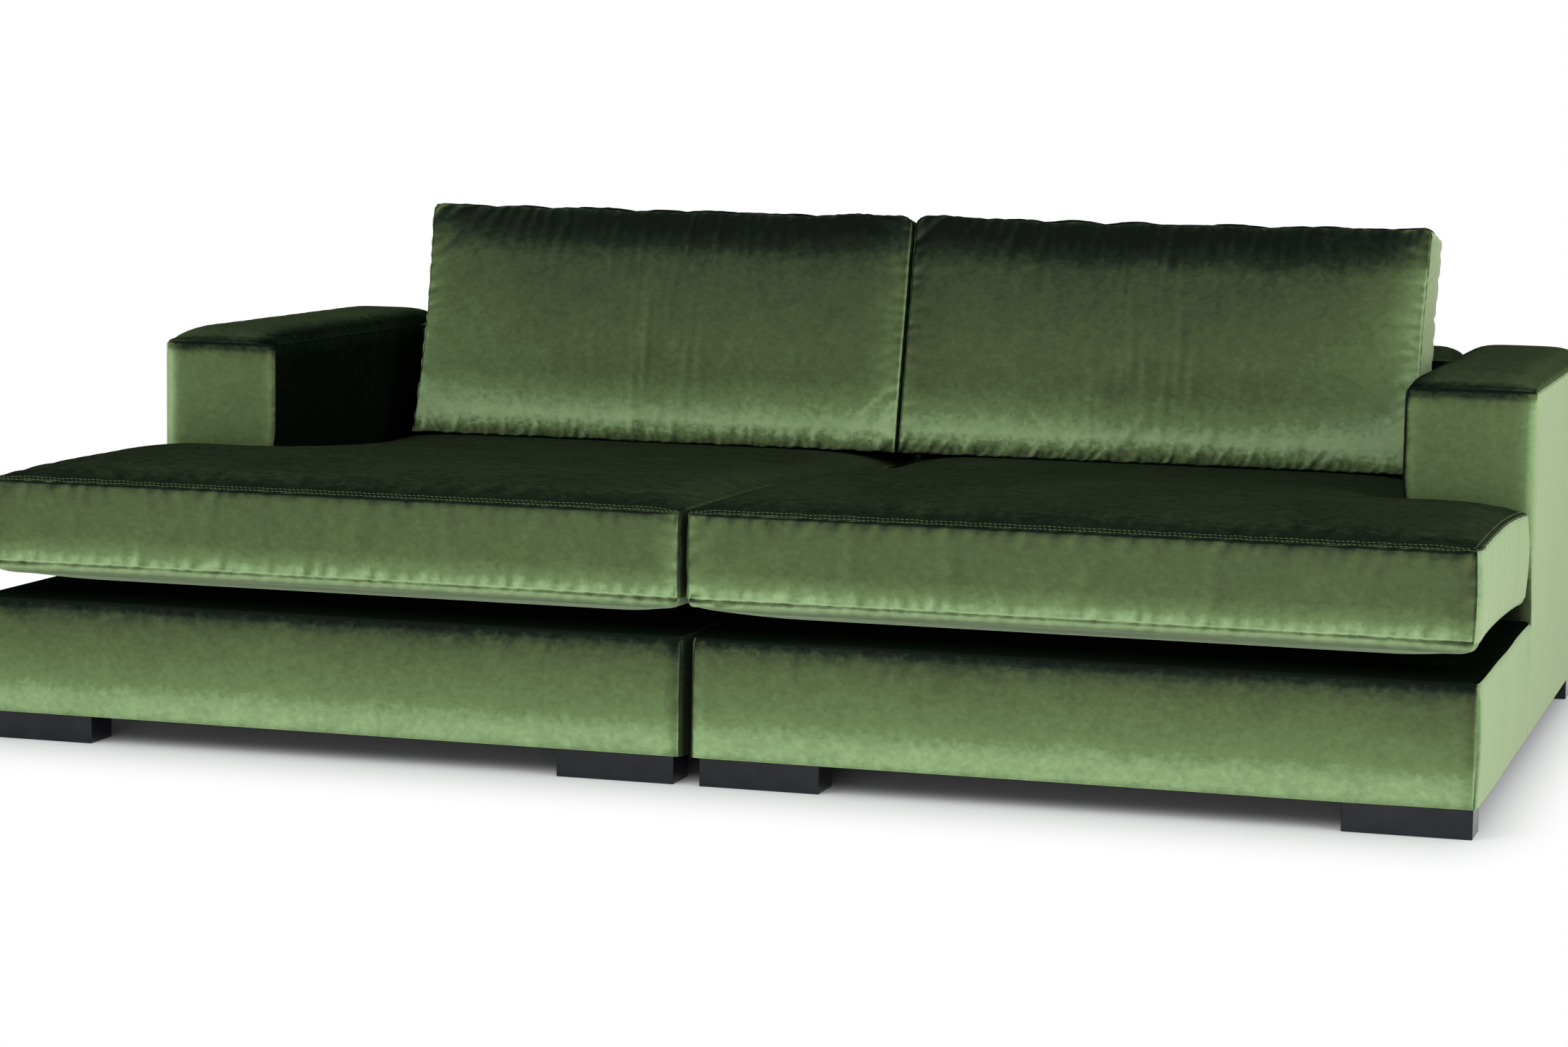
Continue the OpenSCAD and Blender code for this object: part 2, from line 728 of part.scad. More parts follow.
// Points round the side view, each with its share of the height: full is 0 at a side panel, 1 mid-way
function pillow_section(full) =
    let (drop = pillow_draw * full * lean_up, ft = pillow_front_top - drop, rt = pillow_rear_top - drop)
    concat(
        [for (i = [0 : front_steps - 1]) let (t = i / front_steps,
                p = pillow_front_low + t * (ft - pillow_front_low)
                    + lean_out * pillow_crown * full * pow(sin(180 * t), swell_power)
                        * (t < 0.5 ? eased(2 * t + foot_fullness) : 1))
            [p[0], p[1], t]],
        [for (i = [0 : top_steps - 1]) let (t = i / top_steps,
                p = ft + t * (rt - ft) + lean_up * pillow_top_crown * full * sin(180 * t))
            [p[0], p[1], 1]],
        [for (i = [0 : rear_steps - 1]) let (t = i / rear_steps, p = rt + t * (pillow_rear_low - rt))
            [p[0], p[1], 1 - t]],
        [for (i = [0 : foot_steps - 1]) let (t = i / foot_steps,
                p = pillow_rear_low + t * (pillow_front_low - pillow_rear_low))
            [p[0], p[1], 0]]
    );

// Stations across the width, close together near the side panels
pillow_steps = 18;
pillow_stations = [for (i = [0 : pillow_steps]) sin(180 * i / pillow_steps - 90)];
// Rings of the swollen side panels, as shares of its size and of its swell
panel_size_shares = [0.88, 0.5];
panel_swell_shares = [0.55, 0.95];

function pillow_ring(centre, half, s) =
    [for (p = pillow_section(1 - pow(abs(s), 4)))
        [centre + s * (half - pillow_draw * sin(180 * p[2])), p[0], p[1]]];
function panel_ring(centre, half, s, k) =
    [for (p = pillow_section(0)) let (
            y = pillow_mid[0] + panel_size_shares[k] * (p[0] - pillow_mid[0]),
            z = max(pillow_mid[1] + panel_size_shares[k] * (p[1] - pillow_mid[1]), pillow_z))
        [centre + s * (half - pillow_draw * sin(180 * p[2]) * panel_size_shares[k]
            + pillow_side_crown * panel_swell_shares[k]), y, z]];

pillow_w = arm_x - pillow_arm_gap - pillow_split - pillow_gap / 2;
function pillow_inner_x(side) = side * pillow_split + pillow_gap / 2;
function pillow_centre(side) = pillow_inner_x(side) + pillow_w / 2;
pillow_half = pillow_w / 2 - pillow_side_crown;

module pillow_skin(side) {
    c = pillow_centre(side);
    rings = concat(
        [panel_ring(c, pillow_half, -1, 1), panel_ring(c, pillow_half, -1, 0)],
        [for (s = pillow_stations) pillow_ring(c, pillow_half, s)],
        [panel_ring(c, pillow_half, 1, 0), panel_ring(c, pillow_half, 1, 1)]
    );
    skin(rings, [c - pillow_w / 2 + pillow_draw, pillow_mid[0], pillow_mid[1]],
        [c + pillow_w / 2 - pillow_draw, pillow_mid[0], pillow_mid[1]]);
}

// Filling of the back cushion: its side view shrunk by the wrap, grown by extra
module pillow_block(side, extra) {
    c = pillow_centre(side);
    half = pillow_half - pillow_wrap - pillow_draw + extra;
    up = [0, pillow_wrap - extra];
    high = (pillow_wrap + pillow_draw - extra) * lean_up;
    out = (pillow_wrap - extra) * lean_out;
    translate([c - half, 0, 0]) rotate([90, 0, 90]) linear_extrude(2 * half) polygon([
        pillow_front_low + up - out, pillow_front_top - high - out,
        pillow_rear_top - high + out, pillow_rear_low + up + out
    ]);
}

module back_cushion_core(side) {
    color(foam) pillow_block(side, 0);
}

module back_cushion_cover(side) {
    color(velvet) difference() {
        pillow_skin(side);
        pillow_block(side, core_clear);
    }
}

left() base_front_rail();  // left_base_front_rail
left() base_rear_rail();  // left_base_rear_rail
left() base_inner_rail(dowel_hole_r);  // left_base_inner_rail
left() base_arm_rail();  // left_base_arm_rail
left() wing_rails();  // left_wing_rails
left() cross_rails();  // left_cross_rails
left() foot_blocks();  // left_foot_blocks
left() webbing();  // left_webbing
left() deck_pad();  // left_deck_pad
left() base_cover(dowel_hole_r);  // left_base_cover
left() dust_cover();  // left_dust_cover
left() arm_panels();  // left_arm_panels
left() arm_top_board();  // left_arm_top_board
left() arm_top_pad();  // left_arm_top_pad
left() arm_cover();  // left_arm_cover
left() back_ribs();  // left_back_ribs
left() back_panels();  // left_back_panels
left() back_top_pad();  // left_back_top_pad
left() back_cover();  // left_back_cover
left() frame_bolts();  // left_frame_bolts
left() foot(foot_inner_x, foot_front_y);  // left_foot_front_inner
left() foot(foot_outer_x, foot_front_y);  // left_foot_front_outer
left() foot(foot_inner_x, foot_rear_y);  // left_foot_rear_inner
left() foot(foot_outer_x, foot_rear_y);  // left_foot_rear_outer
left() foot_screws();  // left_foot_screws
left() connector_dowels();  // left_connector_dowels
left() seat_core();  // left_seat_core
left() seat_cover(-1);  // left_seat_cover
left() back_cushion_core(-1);  // left_back_cushion_core
left() back_cushion_cover(-1);  // left_back_cushion_cover
base_front_rail();  // right_base_front_rail
base_rear_rail();  // right_base_rear_rail
base_inner_rail(sleeve_hole_r);  // right_base_inner_rail
base_arm_rail();  // right_base_arm_rail
wing_rails();  // right_wing_rails
cross_rails();  // right_cross_rails
foot_blocks();  // right_foot_blocks
webbing();  // right_webbing
deck_pad();  // right_deck_pad
base_cover(sleeve_hole_r);  // right_base_cover
dust_cover();  // right_dust_cover
arm_panels();  // right_arm_panels
arm_top_board();  // right_arm_top_board
arm_top_pad();  // right_arm_top_pad
arm_cover();  // right_arm_cover
back_ribs();  // right_back_ribs
back_panels();  // right_back_panels
back_top_pad();  // right_back_top_pad
back_cover();  // right_back_cover
frame_bolts();  // right_frame_bolts
foot(foot_inner_x, foot_front_y);  // right_foot_front_inner
foot(foot_outer_x, foot_front_y);  // right_foot_front_outer
foot(foot_inner_x, foot_rear_y);  // right_foot_rear_inner
foot(foot_outer_x, foot_rear_y);  // right_foot_rear_outer
foot_screws();  // right_foot_screws
connector_sleeves();  // right_connector_sleeves
seat_core();  // right_seat_core
seat_cover(1);  // right_seat_cover
back_cushion_core(1);  // right_back_cushion_core
back_cushion_cover(1);  // right_back_cushion_cover
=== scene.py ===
"""A two-module lounge sofa in crushed green velvet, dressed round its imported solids."""

import json
import math

import bpy
import numpy as np
from mathutils import Matrix, Vector


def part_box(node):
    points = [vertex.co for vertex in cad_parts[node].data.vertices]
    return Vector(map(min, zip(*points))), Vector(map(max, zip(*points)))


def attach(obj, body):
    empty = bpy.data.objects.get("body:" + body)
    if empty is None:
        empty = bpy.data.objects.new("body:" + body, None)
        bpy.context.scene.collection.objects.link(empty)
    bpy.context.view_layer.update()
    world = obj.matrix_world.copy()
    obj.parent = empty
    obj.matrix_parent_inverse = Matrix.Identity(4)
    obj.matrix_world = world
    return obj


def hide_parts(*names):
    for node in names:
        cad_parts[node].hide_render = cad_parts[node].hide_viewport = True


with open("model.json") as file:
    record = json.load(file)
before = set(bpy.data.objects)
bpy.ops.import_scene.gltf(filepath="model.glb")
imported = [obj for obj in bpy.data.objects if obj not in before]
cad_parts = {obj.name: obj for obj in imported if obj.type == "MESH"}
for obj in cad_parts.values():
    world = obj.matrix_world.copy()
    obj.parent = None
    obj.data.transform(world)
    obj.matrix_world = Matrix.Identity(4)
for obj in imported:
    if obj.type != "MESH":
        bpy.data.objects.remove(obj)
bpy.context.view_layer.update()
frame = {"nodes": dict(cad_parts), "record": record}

# Modules: the right-hand one is made at +X and the left-hand one is its mirror image
SIDES = {"left": -1, "right": 1}
BASE_LOW, BASE_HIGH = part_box("right_base_cover")
ARM_LOW, ARM_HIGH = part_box("right_arm_cover")
BACK_LOW, BACK_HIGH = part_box("right_back_cover")
SEAT_LOW, SEAT_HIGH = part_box("right_seat_cover")

# Panels of a box-shaped cover, numbered by the way that they face
BOTTOM, TOP, FRONT, REAR, INNER, OUTER = range(6)
PANEL_NORMALS = np.array(
    [(0, 0, -1), (0, 0, 1), (0, -1, 0), (0, 1, 0), (-1, 0, 0), (1, 0, 0)], float
)
# Axis across each panel and axis up it
PANEL_AXES = {BOTTOM: (0, 1), TOP: (0, 1), FRONT: (0, 2), REAR: (0, 2), INNER: (1, 2), OUTER: (1, 2)}

# Mesh lines that stand close to a seam, and the cell between the others
SEAM_LINES = (0.0, 0.0025, 0.006, 0.0095)
SEAT_CELL, PILLOW_CELL, COVER_CELL = 0.013, 0.008, 0.022
# A seam is a narrow groove, with a bead of cloth a little away from it
SEAM_WIDTH, BEAD_PLACE, BEAD_WIDTH = 0.0025, 0.006, 0.0035
# Less than a mesh cell, and more than a rounding error
HAIR = 0.001

# Cloth that blows the cushions up
CLOTH_FRAMES, CLOTH_QUALITY, CLOTH_MASS, CLOTH_PRESSURE = 20, 5, 0.3, 4
CLOTH_STRETCH, CLOTH_SHEAR, CLOTH_BEND = 15, 5, 0.2

# Seat cushions: the gap at the split, the swell of the walls, less where they are pressed, and the
# drift of the split to one side, which dies out along the cushion
SEAT_GAP, SEAT_SWELL, SEAT_PRESSED, SEAT_DRIFT, SEAT_DRIFT_RUN = 0.008, 0.004, 0.0012, 0.014, 0.4
# Toward the rear the split opens, so that a lifted cushion passes the other module's back cushion:
# how far, from which share of the depth, and over which share
SEAT_PARTING, SEAT_PARTING_START, SEAT_PARTING_SHARE = 0.004, 0.3, 0.45
# Clearance to the frame, rounds of the corners, and how far the sides are drawn in
SEAT_CLEAR, SEAT_CORNER, SEAT_SPLIT_CORNER, SEAT_DRAW, SEAT_DRAW_RUN = 0.003, 0.026, 0.009, 0.005, 0.08
# Height of the top seam, the boxing under it, and its fall toward the back, which starts and ends
# this far in front of the arm and of the back cushion's rear
SEAT_SEAM, SEAT_BOXING, SEAT_FALL, SEAT_FALL_START, SEAT_FALL_END = 0.428, 0.137, 0.035, 0.35, 0.09
SEAT_CROWN, SEAT_CROWN_RUN, SEAT_START_CROWN = 0.026, 0.045, 0.6
# The underside rests on the deck, rolls up to the lower seam and bags beside it, and the seam sags
SEAT_REST, SEAT_ROLL_RUN, SEAT_BAG, SEAT_BAG_RUN, SEAT_SAG = 0.0003, 0.110, 0.010, 0.012, 0.014
# How far the cloth may move at the underside, the pressed walls, the free walls and the top
SEAT_CAPS, SEAT_SPARE = (0.003, 0.002, 0.0006, 0.010), 0.008
SEAT_SEED, SEAT_GROOVE, SEAT_BEAD = 40, 0.0013, 0.0
STITCH_ROWS, STITCH, STITCH_GAP, THREAD = (0.0025, 0.0095), 0.0055, 0.0022, 0.00045
# A stitch comes out of the cloth, lies on it and goes in: shares of its length, and heights in threads
STITCH_STEPS, STITCH_LIFTS = (0, 0.2, 0.8, 1), (-1.3, 0.5, 0.5, -1.3)

# Back cushions, which lean on the back frame
PILLOW_HALF, PILLOW_H, PILLOW_T = 0.475, 0.449, 0.145
PILLOW_LEAN, PILLOW_CROWN, PILLOW_TOP_CROWN = math.radians(13.5), 0.038, 0.010
PILLOW_SIDE_CROWN, PILLOW_DRAW, PILLOW_CORNER_LIFT = 0.006, 0.007, 0.014
PILLOW_SPLIT, PILLOW_GAP, PILLOW_ROUND, PILLOW_CLEAR = 0.011, 0.004, 0.020, 0.001
PILLOW_START_CROWN = 0.75
PILLOW_WAVE, PILLOW_WAVE_SIZE, PILLOW_WAVE_SEED = 0.0018, 0.05, 31
# How far the cloth may move at the foot, at the rear where it leans, at the rear and top where it is
# free, at the ends and at the front. It leans up to this height.
PILLOW_CAPS, PILLOW_LEANS_TO, PILLOW_SPARE = (0.0002, 0.0005, 0.006, 0.003, 0.008), 0.27, 0.006
PILLOW_SEED, PILLOW_GROOVE, PILLOW_BEAD = 60, 0.0018, 0.0004

# Frame covers
COVER_EDGE, COVER_CORNER, COVER_WALL = 0.012, 0.015, 0.003
COVER_GROOVE, COVER_BEAD = 0.0018, 0.0001
BASE_BULGE, BASE_SIDE_SHARE, BASE_SEED = 0.004, 0.6, 80
BASE_RIPPLE, BASE_RIPPLE_SIZE, BASE_RIPPLE_SEED = 0.0012, 0.12, 7
# Crown of the pad, the run over which it eases down to the front, and the seam below it
ARM_CROWN, ARM_EASE, ARM_REAR_SHARE, ARM_SEAM, ARM_SEED = 0.025, 0.08, 0.2, 0.615, 100
ARM_WRAP, ARM_OUTER_WRAP = 0.012, 0.008
# Round of the upright outer corner, at the base and above it, and how far the top stands back there
ARM_SEAM_ROUND, ARM_SOFT_ROUND, ARM_SOFT_RUN, ARM_PUFF, ARM_PUFF_RUN = 0.003, 0.013, 0.08, 0.004, 0.03
ARM_BULGE, ARM_RIPPLE, ARM_RIPPLE_SIZE, ARM_RIPPLE_SEED = 0.002, 0.001, 0.15, 17
BACK_CROWN, BACK_EASE, BACK_SEAM, BACK_SEED = 0.024, 0.025, 0.612, 120

# Feet: their faces are joined at the edges, which then get a small bevel
FOOT_WELD, FOOT_BEVEL, FOOT_BEVEL_ANGLE = 0.00005, 0.0018, math.radians(40)

# Edges with no groove, because the cloth runs on round them
SEAT_PLAIN = ((FRONT, "end"), (OUTER, "start"))
PILLOW_PLAIN = ((FRONT, "high"), (TOP, "low"), (FRONT, "low"))
BASE_PLAIN = tuple((TOP, edge) for edge in ("start", "end", "low", "high")) + tuple(
    (panel, edge) for panel in (FRONT, REAR, INNER, OUTER) for edge in ("low", "high")
)
ARM_PLAIN = (
    (INNER, "high"), (INNER, "low"), (OUTER, "low"), (FRONT, "low"), (REAR, "low"), (TOP, "start"),
    (FRONT, "end"), (OUTER, "start"),
)
BACK_PLAIN = tuple((panel, "low") for panel in (FRONT, REAR, INNER, OUTER))

# Rows of folds: panel, edge, gap between folds, depth, reach, width and slant
SEAT_FOLDS = (
    (FRONT, "low", 0.020, 0.0030, 0.022, 0.0055, -0.4),
    (FRONT, "high", 0.026, 0.0020, 0.024, 0.0065, -0.5),
    (FRONT, "start", 0.018, 0.0025, 0.024, 0.0055, 0.5),
    (FRONT, "end", 0.022, 0.0020, 0.016, 0.0055, 0.4),
    (BOTTOM, "low", 0.020, 0.0022, 0.016, 0.0060, 0.3),
    (OUTER, "low", 0.040, 0.0016, 0.060, 0.0100, 0.2),
    (OUTER, "high", 0.044, 0.0018, 0.070, 0.0110, 0.2),
    (TOP, "low", 0.050, 0.0006, 0.040, 0.0100, 0.4),
)
PILLOW_FOLDS = (
    (FRONT, "low", 0.013, 0.0026, 0.030, 0.0046, 0.9),
    (FRONT, "low", 0.060, 0.0018, 0.050, 0.0095, 0.9),
    (FRONT, "high", 0.024, 0.0016, 0.022, 0.0060, 0.5),
    (FRONT, "start", 0.034, 0.0012, 0.028, 0.0070, 0.5),
    (FRONT, "end", 0.034, 0.0016, 0.030, 0.0070, 0.5),
    (TOP, "low", 0.022, 0.0040, 0.030, 0.0070, 0.3),
    (OUTER, "start", 0.026, 0.0042, 0.045, 0.0075, 0.5),
    (INNER, "start", 0.034, 0.0016, 0.040, 0.0080, 0.4),
    (REAR, "high", 0.026, 0.0030, 0.030, 0.0070, 0.4),
    (OUTER, "end", 0.034, 0.0046, 0.070, 0.0090, 0.3),
)
BASE_FOLDS = (
    (FRONT, "high", 0.050, 0.0010, 0.045, 0.012, 0.3),
    (FRONT, "end", 0.030, 0.0015, 0.016, 0.007, 0.3),
    (FRONT, "start", 0.030, 0.0015, 0.016, 0.007, 0.3),
    (FRONT, "low", 0.060, 0.0006, 0.020, 0.012, 0.3),
    (OUTER, "high", 0.050, 0.0020, 0.080, 0.012, 0.2),
)
ARM_FOLDS = (
    (FRONT, "high", 0.016, 0.0022, 0.022, 0.0070, 0.2),
    (FRONT, "start", 0.035, 0.0015, 0.014, 0.007, 0.3),
    (TOP, "low", 0.022, 0.0015, 0.020, 0.008, 0.2),
    (TOP, "end", 0.040, 0.0026, 0.045, 0.011, 0.4),
    (OUTER, "high", 0.060, 0.0015, 0.060, 0.012, 0.2),
)
BACK_FOLDS = (
    (REAR, "high", 0.040, 0.0018, 0.040, 0.010, 0.2),
    (TOP, "high", 0.040, 0.0015, 0.030, 0.010, 0.2),
    (TOP, "low", 0.040, 0.0015, 0.030, 0.010, 0.2),
)


def read(items, key, width=3, kind=float):
    """One value of each item, in rows of the given width."""
    values = np.empty(len(items) * width, kind)
    items.foreach_get(key, values)
    return values.reshape(-1, width) if width > 1 else values


def coordinates(mesh):
    return read(mesh.vertices, "co")


def place(mesh, places):
    mesh.vertices.foreach_set("co", places.ravel())
    mesh.update()


def vertex_normals(mesh):
    return read(mesh.vertex_normals, "vector")


def eased(t):
    return (1 - np.cos(math.pi * np.clip(t, 0, 1))) / 2


def apply_modifiers(piece):
    bpy.ops.object.select_all(action="DESELECT")
    bpy.context.view_layer.objects.active = piece
    piece.select_set(True)
    for modifier in list(piece.modifiers):
        bpy.ops.object.modifier_apply(modifier=modifier.name)


def mesh_lines(low, high, cell, tight_low=True, tight_high=True):
    """Places of the mesh lines from low to high, close together at the ends that have a seam."""
    start = [low + t for t in SEAM_LINES] if tight_low else [low]
    end = [high - t for t in reversed(SEAM_LINES)] if tight_high else [high]
    count = max(2, round((end[0] - start[-1]) / cell))
    return start + list(np.linspace(start[-1], end[0], count + 1)[1:-1]) + end


def notched_lines(low, high, notch, cell):
    """Mesh lines in x and y of a piece with a notched corner, which both have one at the notch."""
    return [
        mesh_lines(low[axis], notch[axis], cell, tight_high=False)
        + mesh_lines(notch[axis], high[axis], cell, tight_low=False)[1:]
        for axis in (0, 1)
    ]


def select_only(items, kind, chosen):
    """Selects the chosen edges or faces and nothing else."""
    bpy.ops.object.mode_set(mode="EDIT")
    bpy.ops.mesh.select_mode(type=kind)
    bpy.ops.mesh.select_all(action="DESELECT")
    bpy.ops.object.mode_set(mode="OBJECT")
    items.foreach_set("select", chosen)


def delete_faces(mesh, chosen):
    select_only(mesh.polygons, "FACE", chosen)
    bpy.ops.object.mode_set(mode="EDIT")
    bpy.ops.mesh.delete(type="FACE")
    bpy.ops.object.mode_set(mode="OBJECT")


def panel_box(name, xs, ys, zs, notch=None, open_bottom=False):
    """A box with a mesh line at each place in xs, ys and zs, less the notch where x and y are past it.

    Its vertices keep these flat places in an attribute, and its faces the number of their panel.
    """
    xs, ys, zs = (np.array(places, float) for places in (xs, ys, zs))
    counts = np.array([len(xs) - 1, len(ys) - 1, len(zs) - 1])
    bpy.ops.object.select_all(action="DESELECT")
    bpy.ops.mesh.primitive_grid_add(x_subdivisions=counts[0], y_subdivisions=counts[1], size=1)
    piece = bpy.context.object
    piece.name = piece.data.name = name
    mesh = piece.data
    if notch:
        centres = np.array([face.center[:] for face in mesh.polygons]) + 0.5
        past_x = centres[:, 0] * counts[0] > np.searchsorted(xs, notch[0] - 1e-6)
        past_y = centres[:, 1] * counts[1] > np.searchsorted(ys, notch[1] - 1e-6)
        delete_faces(mesh, past_x & past_y)
    wall = piece.modifiers.new("height", "SOLIDIFY")
    wall.thickness, wall.offset = 1, 1
    apply_modifiers(piece)
    heights = coordinates(mesh)[:, 2][read(mesh.edges, "vertices", 2, int)]
    select_only(mesh.edges, "EDGE", np.abs(heights[:, 0] - heights[:, 1]) > 0.5)
    bpy.ops.object.mode_set(mode="EDIT")
    bpy.ops.mesh.subdivide_edgering(number_cuts=int(counts[2] - 1), interpolation="LINEAR")
    bpy.ops.mesh.select_all(action="SELECT")
    bpy.ops.mesh.normals_make_consistent(inside=False)
    bpy.ops.object.mode_set(mode="OBJECT")
    steps = np.rint((coordinates(mesh) + (0.5, 0.5, 0)) * counts).astype(int)
    flat = np.stack([lines[steps[:, axis]] for axis, lines in enumerate((xs, ys, zs))], 1)
    place(mesh, flat)
    panels = np.argmax(read(mesh.polygons, "normal") @ PANEL_NORMALS.T, axis=1)
    mesh.attributes.new("panel", "INT", "FACE").data.foreach_set("value", panels)
    mesh.attributes.new("flat", "FLOAT_VECTOR", "POINT").data.foreach_set("vector", flat.ravel())
    if open_bottom:
        delete_faces(mesh, panels == BOTTOM)
    return piece


def face_panels(mesh):
    return read(mesh.attributes["panel"].data, "value", 1, int)


def flat_places(mesh):
    return read(mesh.attributes["flat"].data, "vector")


def calm_normals(mesh):
    return read(mesh.attributes["calm"].data, "vector")


def corner_faces(mesh):
    """The vertex and the face of each face corner."""
    totals = read(mesh.polygons, "loop_total", 1, int)
    return read(mesh.loops, "vertex_index", 1, int), np.repeat(np.arange(len(totals)), totals)


def panel_members(mesh):
    """For each panel, which vertices belong to it. A vertex on a seam belongs to two or three."""
    vertices, faces = corner_faces(mesh)
    members = np.zeros((6, len(mesh.vertices)), bool)
    members[face_panels(mesh)[faces], vertices] = True
    return members


def rounded(u, v, corner, inward, radius):
    """Moves points in the square at a corner onto the round that fits it."""
    du, dv = u - corner[0] - inward[0] * radius, v - corner[1] - inward[1] * radius
    inside = (du * inward[0] < 0) & (dv * inward[1] < 0)
    reach = np.hypot(du, dv)
    share = np.where(inside, np.maximum(np.abs(du), np.abs(dv)) / np.maximum(reach, 1e-9), 1)
    return u + du * (share - 1), v + dv * (share - 1)


def ripple(places, seed, size, count=14):
    """Soft irregular waves between about -1 and 1, with humps of about the given size."""
    rng = np.random.default_rng(seed)
    ways = rng.normal(size=(count, 3))
    lengths = np.linalg.norm(ways, axis=1)[:, None]
    ways *= (math.pi / size) * rng.uniform(0.5, 1.3, (count, 1)) / lengths
    phases = rng.uniform(0, 2 * math.pi, count)
    return np.sin(places @ ways.T + phases).sum(1) / math.sqrt(count)


def folds(along, away, seed, gap, depth, reach, width, slant):
    """Depth of the small folds that a seam's gathers send into the cloth.

    They start about a gap apart along the seam, die out within their reach away from it and lean by
    up to the slant.
    """
    rng = np.random.default_rng(seed)
    hollow = np.zeros(len(along))
    low, high = along.min(), along.max()
    at = low + gap * rng.uniform(0.2, 1)
    while at < high:
        size, lean = rng.uniform(0.35, 1), rng.uniform(-0.3, 1) * slant
        length, breadth = reach * rng.uniform(0.4, 1.2), width * rng.uniform(0.7, 1.5)
        across = (along - at - lean * away) / breadth
        near = np.abs(across) < 3
        fade = np.exp(-((away[near] / length) ** 2)) * (1 - 0.5 * np.exp(-away[near] / 0.003))
        hollow[near] += depth * size * np.exp(-across[near] ** 2) * fade
        at += gap * rng.uniform(0.45, 1.6)
    return hollow


def seam_distances(flat, low, high, panel, edge):
    """Places along a panel's edge, and distances away from it, in the flat cloth."""
    across, up = PANEL_AXES[panel]
    axis, other = (up, across) if edge in ("low", "high") else (across, up)
    away = flat[:, axis] - low[axis] if edge in ("low", "start") else high[axis] - flat[:, axis]
    return flat[:, other], away


def press_folds(piece, low, high, rows, seed):
    """Presses rows of folds into a piece."""
    mesh = piece.data
    flat, members = flat_places(mesh), panel_members(mesh)
    hollow = np.zeros(len(flat))
    for number, (panel, edge, gap, depth, reach, width, slant) in enumerate(rows):
        chosen = np.flatnonzero(members[panel])
        along, away = seam_distances(flat[chosen], low, high, panel, edge)
        hollow[chosen] += folds(along, away, seed + number, gap, depth, reach, width, slant)
    place(mesh, coordinates(mesh) - vertex_normals(mesh) * hollow[:, None])


def seam_gap(flat, low, high, members, plain):
    """Distance of each vertex from the nearest seam of its panel. Edges in plain have no seam."""
    nearest = np.full(len(flat), 1.0)
    for panel in PANEL_AXES:
        for edge in ("start", "end", "low", "high"):
            if (panel, edge) in plain:
                continue
            away = seam_distances(flat, low, high, panel, edge)[1]
            nearest = np.where(members[panel], np.minimum(nearest, np.maximum(away, 0)), nearest)
    return nearest


def sew(piece, low, high, depth, bead, plain):
    """Draws the cloth in at each seam and lets it swell beside it."""
    mesh = piece.data
    away = seam_gap(flat_places(mesh), low, high, panel_members(mesh), plain)
    groove = depth * np.exp(-((away / SEAM_WIDTH) ** 2))
    lift = bead * np.exp(-(((away - BEAD_PLACE) / BEAD_WIDTH) ** 2)) - groove
    place(mesh, coordinates(mesh) + vertex_normals(mesh) * lift[:, None])


def keep_calm_normals(mesh):
    """Keeps the normals of the even form, from which the painted shade of its wrinkles is told later.
    """
    calm = mesh.attributes.new("calm", "FLOAT_VECTOR", "POINT")
    calm.data.foreach_set("vector", vertex_normals(mesh).ravel())


def subdivide(piece):
    smooth = piece.modifiers.new("smooth", "SUBSURF")
    smooth.levels = smooth.render_levels = 1
    apply_modifiers(piece)
    piece.data.shade_smooth()


def inflate(piece, pinned, caps, spare):
    """Blows a closed piece up as cloth, longer by the spare share than its form.

    Pinned vertices stay, and no other moves past its cap.
    """
    scene = bpy.context.scene
    start = coordinates(piece.data)
    group = piece.vertex_groups.new(name="seams")
    group.add([int(i) for i in np.flatnonzero(pinned)], 1, "REPLACE")
    cloth = piece.modifiers.new("cloth", "CLOTH")
    settings = cloth.settings
    settings.quality, settings.mass = CLOTH_QUALITY, CLOTH_MASS
    settings.use_pressure, settings.uniform_pressure_force = True, CLOTH_PRESSURE
    settings.shrink_min = -spare
    settings.vertex_group_mass = group.name
    settings.tension_stiffness = settings.compression_stiffness = CLOTH_STRETCH
    settings.shear_stiffness, settings.bending_stiffness = CLOTH_SHEAR, CLOTH_BEND
    settings.effector_weights.gravity = 0
    cloth.collision_settings.use_collision = False
    scene.frame_start, scene.frame_end = 1, CLOTH_FRAMES
    for number in range(1, CLOTH_FRAMES + 1):
        scene.frame_set(number)
    apply_modifiers(piece)
    piece.vertex_groups.clear()
    moved = coordinates(piece.data) - start
    reach = np.linalg.norm(moved, axis=1)
    kept = caps * np.tanh(reach / np.maximum(caps, 1e-6)) / np.maximum(reach, 1e-9)
    place(piece.data, start + moved * kept[:, None])
    scene.frame_set(1)


def mirrored(piece, side):
    """Turns a piece made for the right-hand module into the left-hand one."""
    if side > 0:
        return
    mesh = piece.data
    mesh.transform(Matrix.Diagonal((-1, 1, 1, 1)))
    mesh.flip_normals()
    calm = calm_normals(mesh) * (-1, 1, 1)
    mesh.attributes["calm"].data.foreach_set("vector", calm.ravel())


# Seat cushions
def seat_outline():
    """Lowest and highest places of the flat cushion, and the corner of its notch."""
    low = np.array([SEAT_GAP / 2 + SEAT_PRESSED, SEAT_LOW.y + SEAT_SWELL, 0])
    high = np.array([SEAT_HIGH.x - SEAT_SWELL, BACK_LOW.y - SEAT_SWELL - SEAT_CLEAR, SEAT_BOXING])
    notch = (ARM_LOW.x - SEAT_SWELL - SEAT_CLEAR, ARM_LOW.y - SEAT_SWELL - SEAT_CLEAR)
    return low, high, notch


def seat_seam_height(y):
    start = ARM_LOW.y - SEAT_FALL_START
    end = BACK_LOW.y - SEAT_FALL_END - PILLOW_T
    return SEAT_SEAM - SEAT_FALL * eased((y - start) / (end - start))


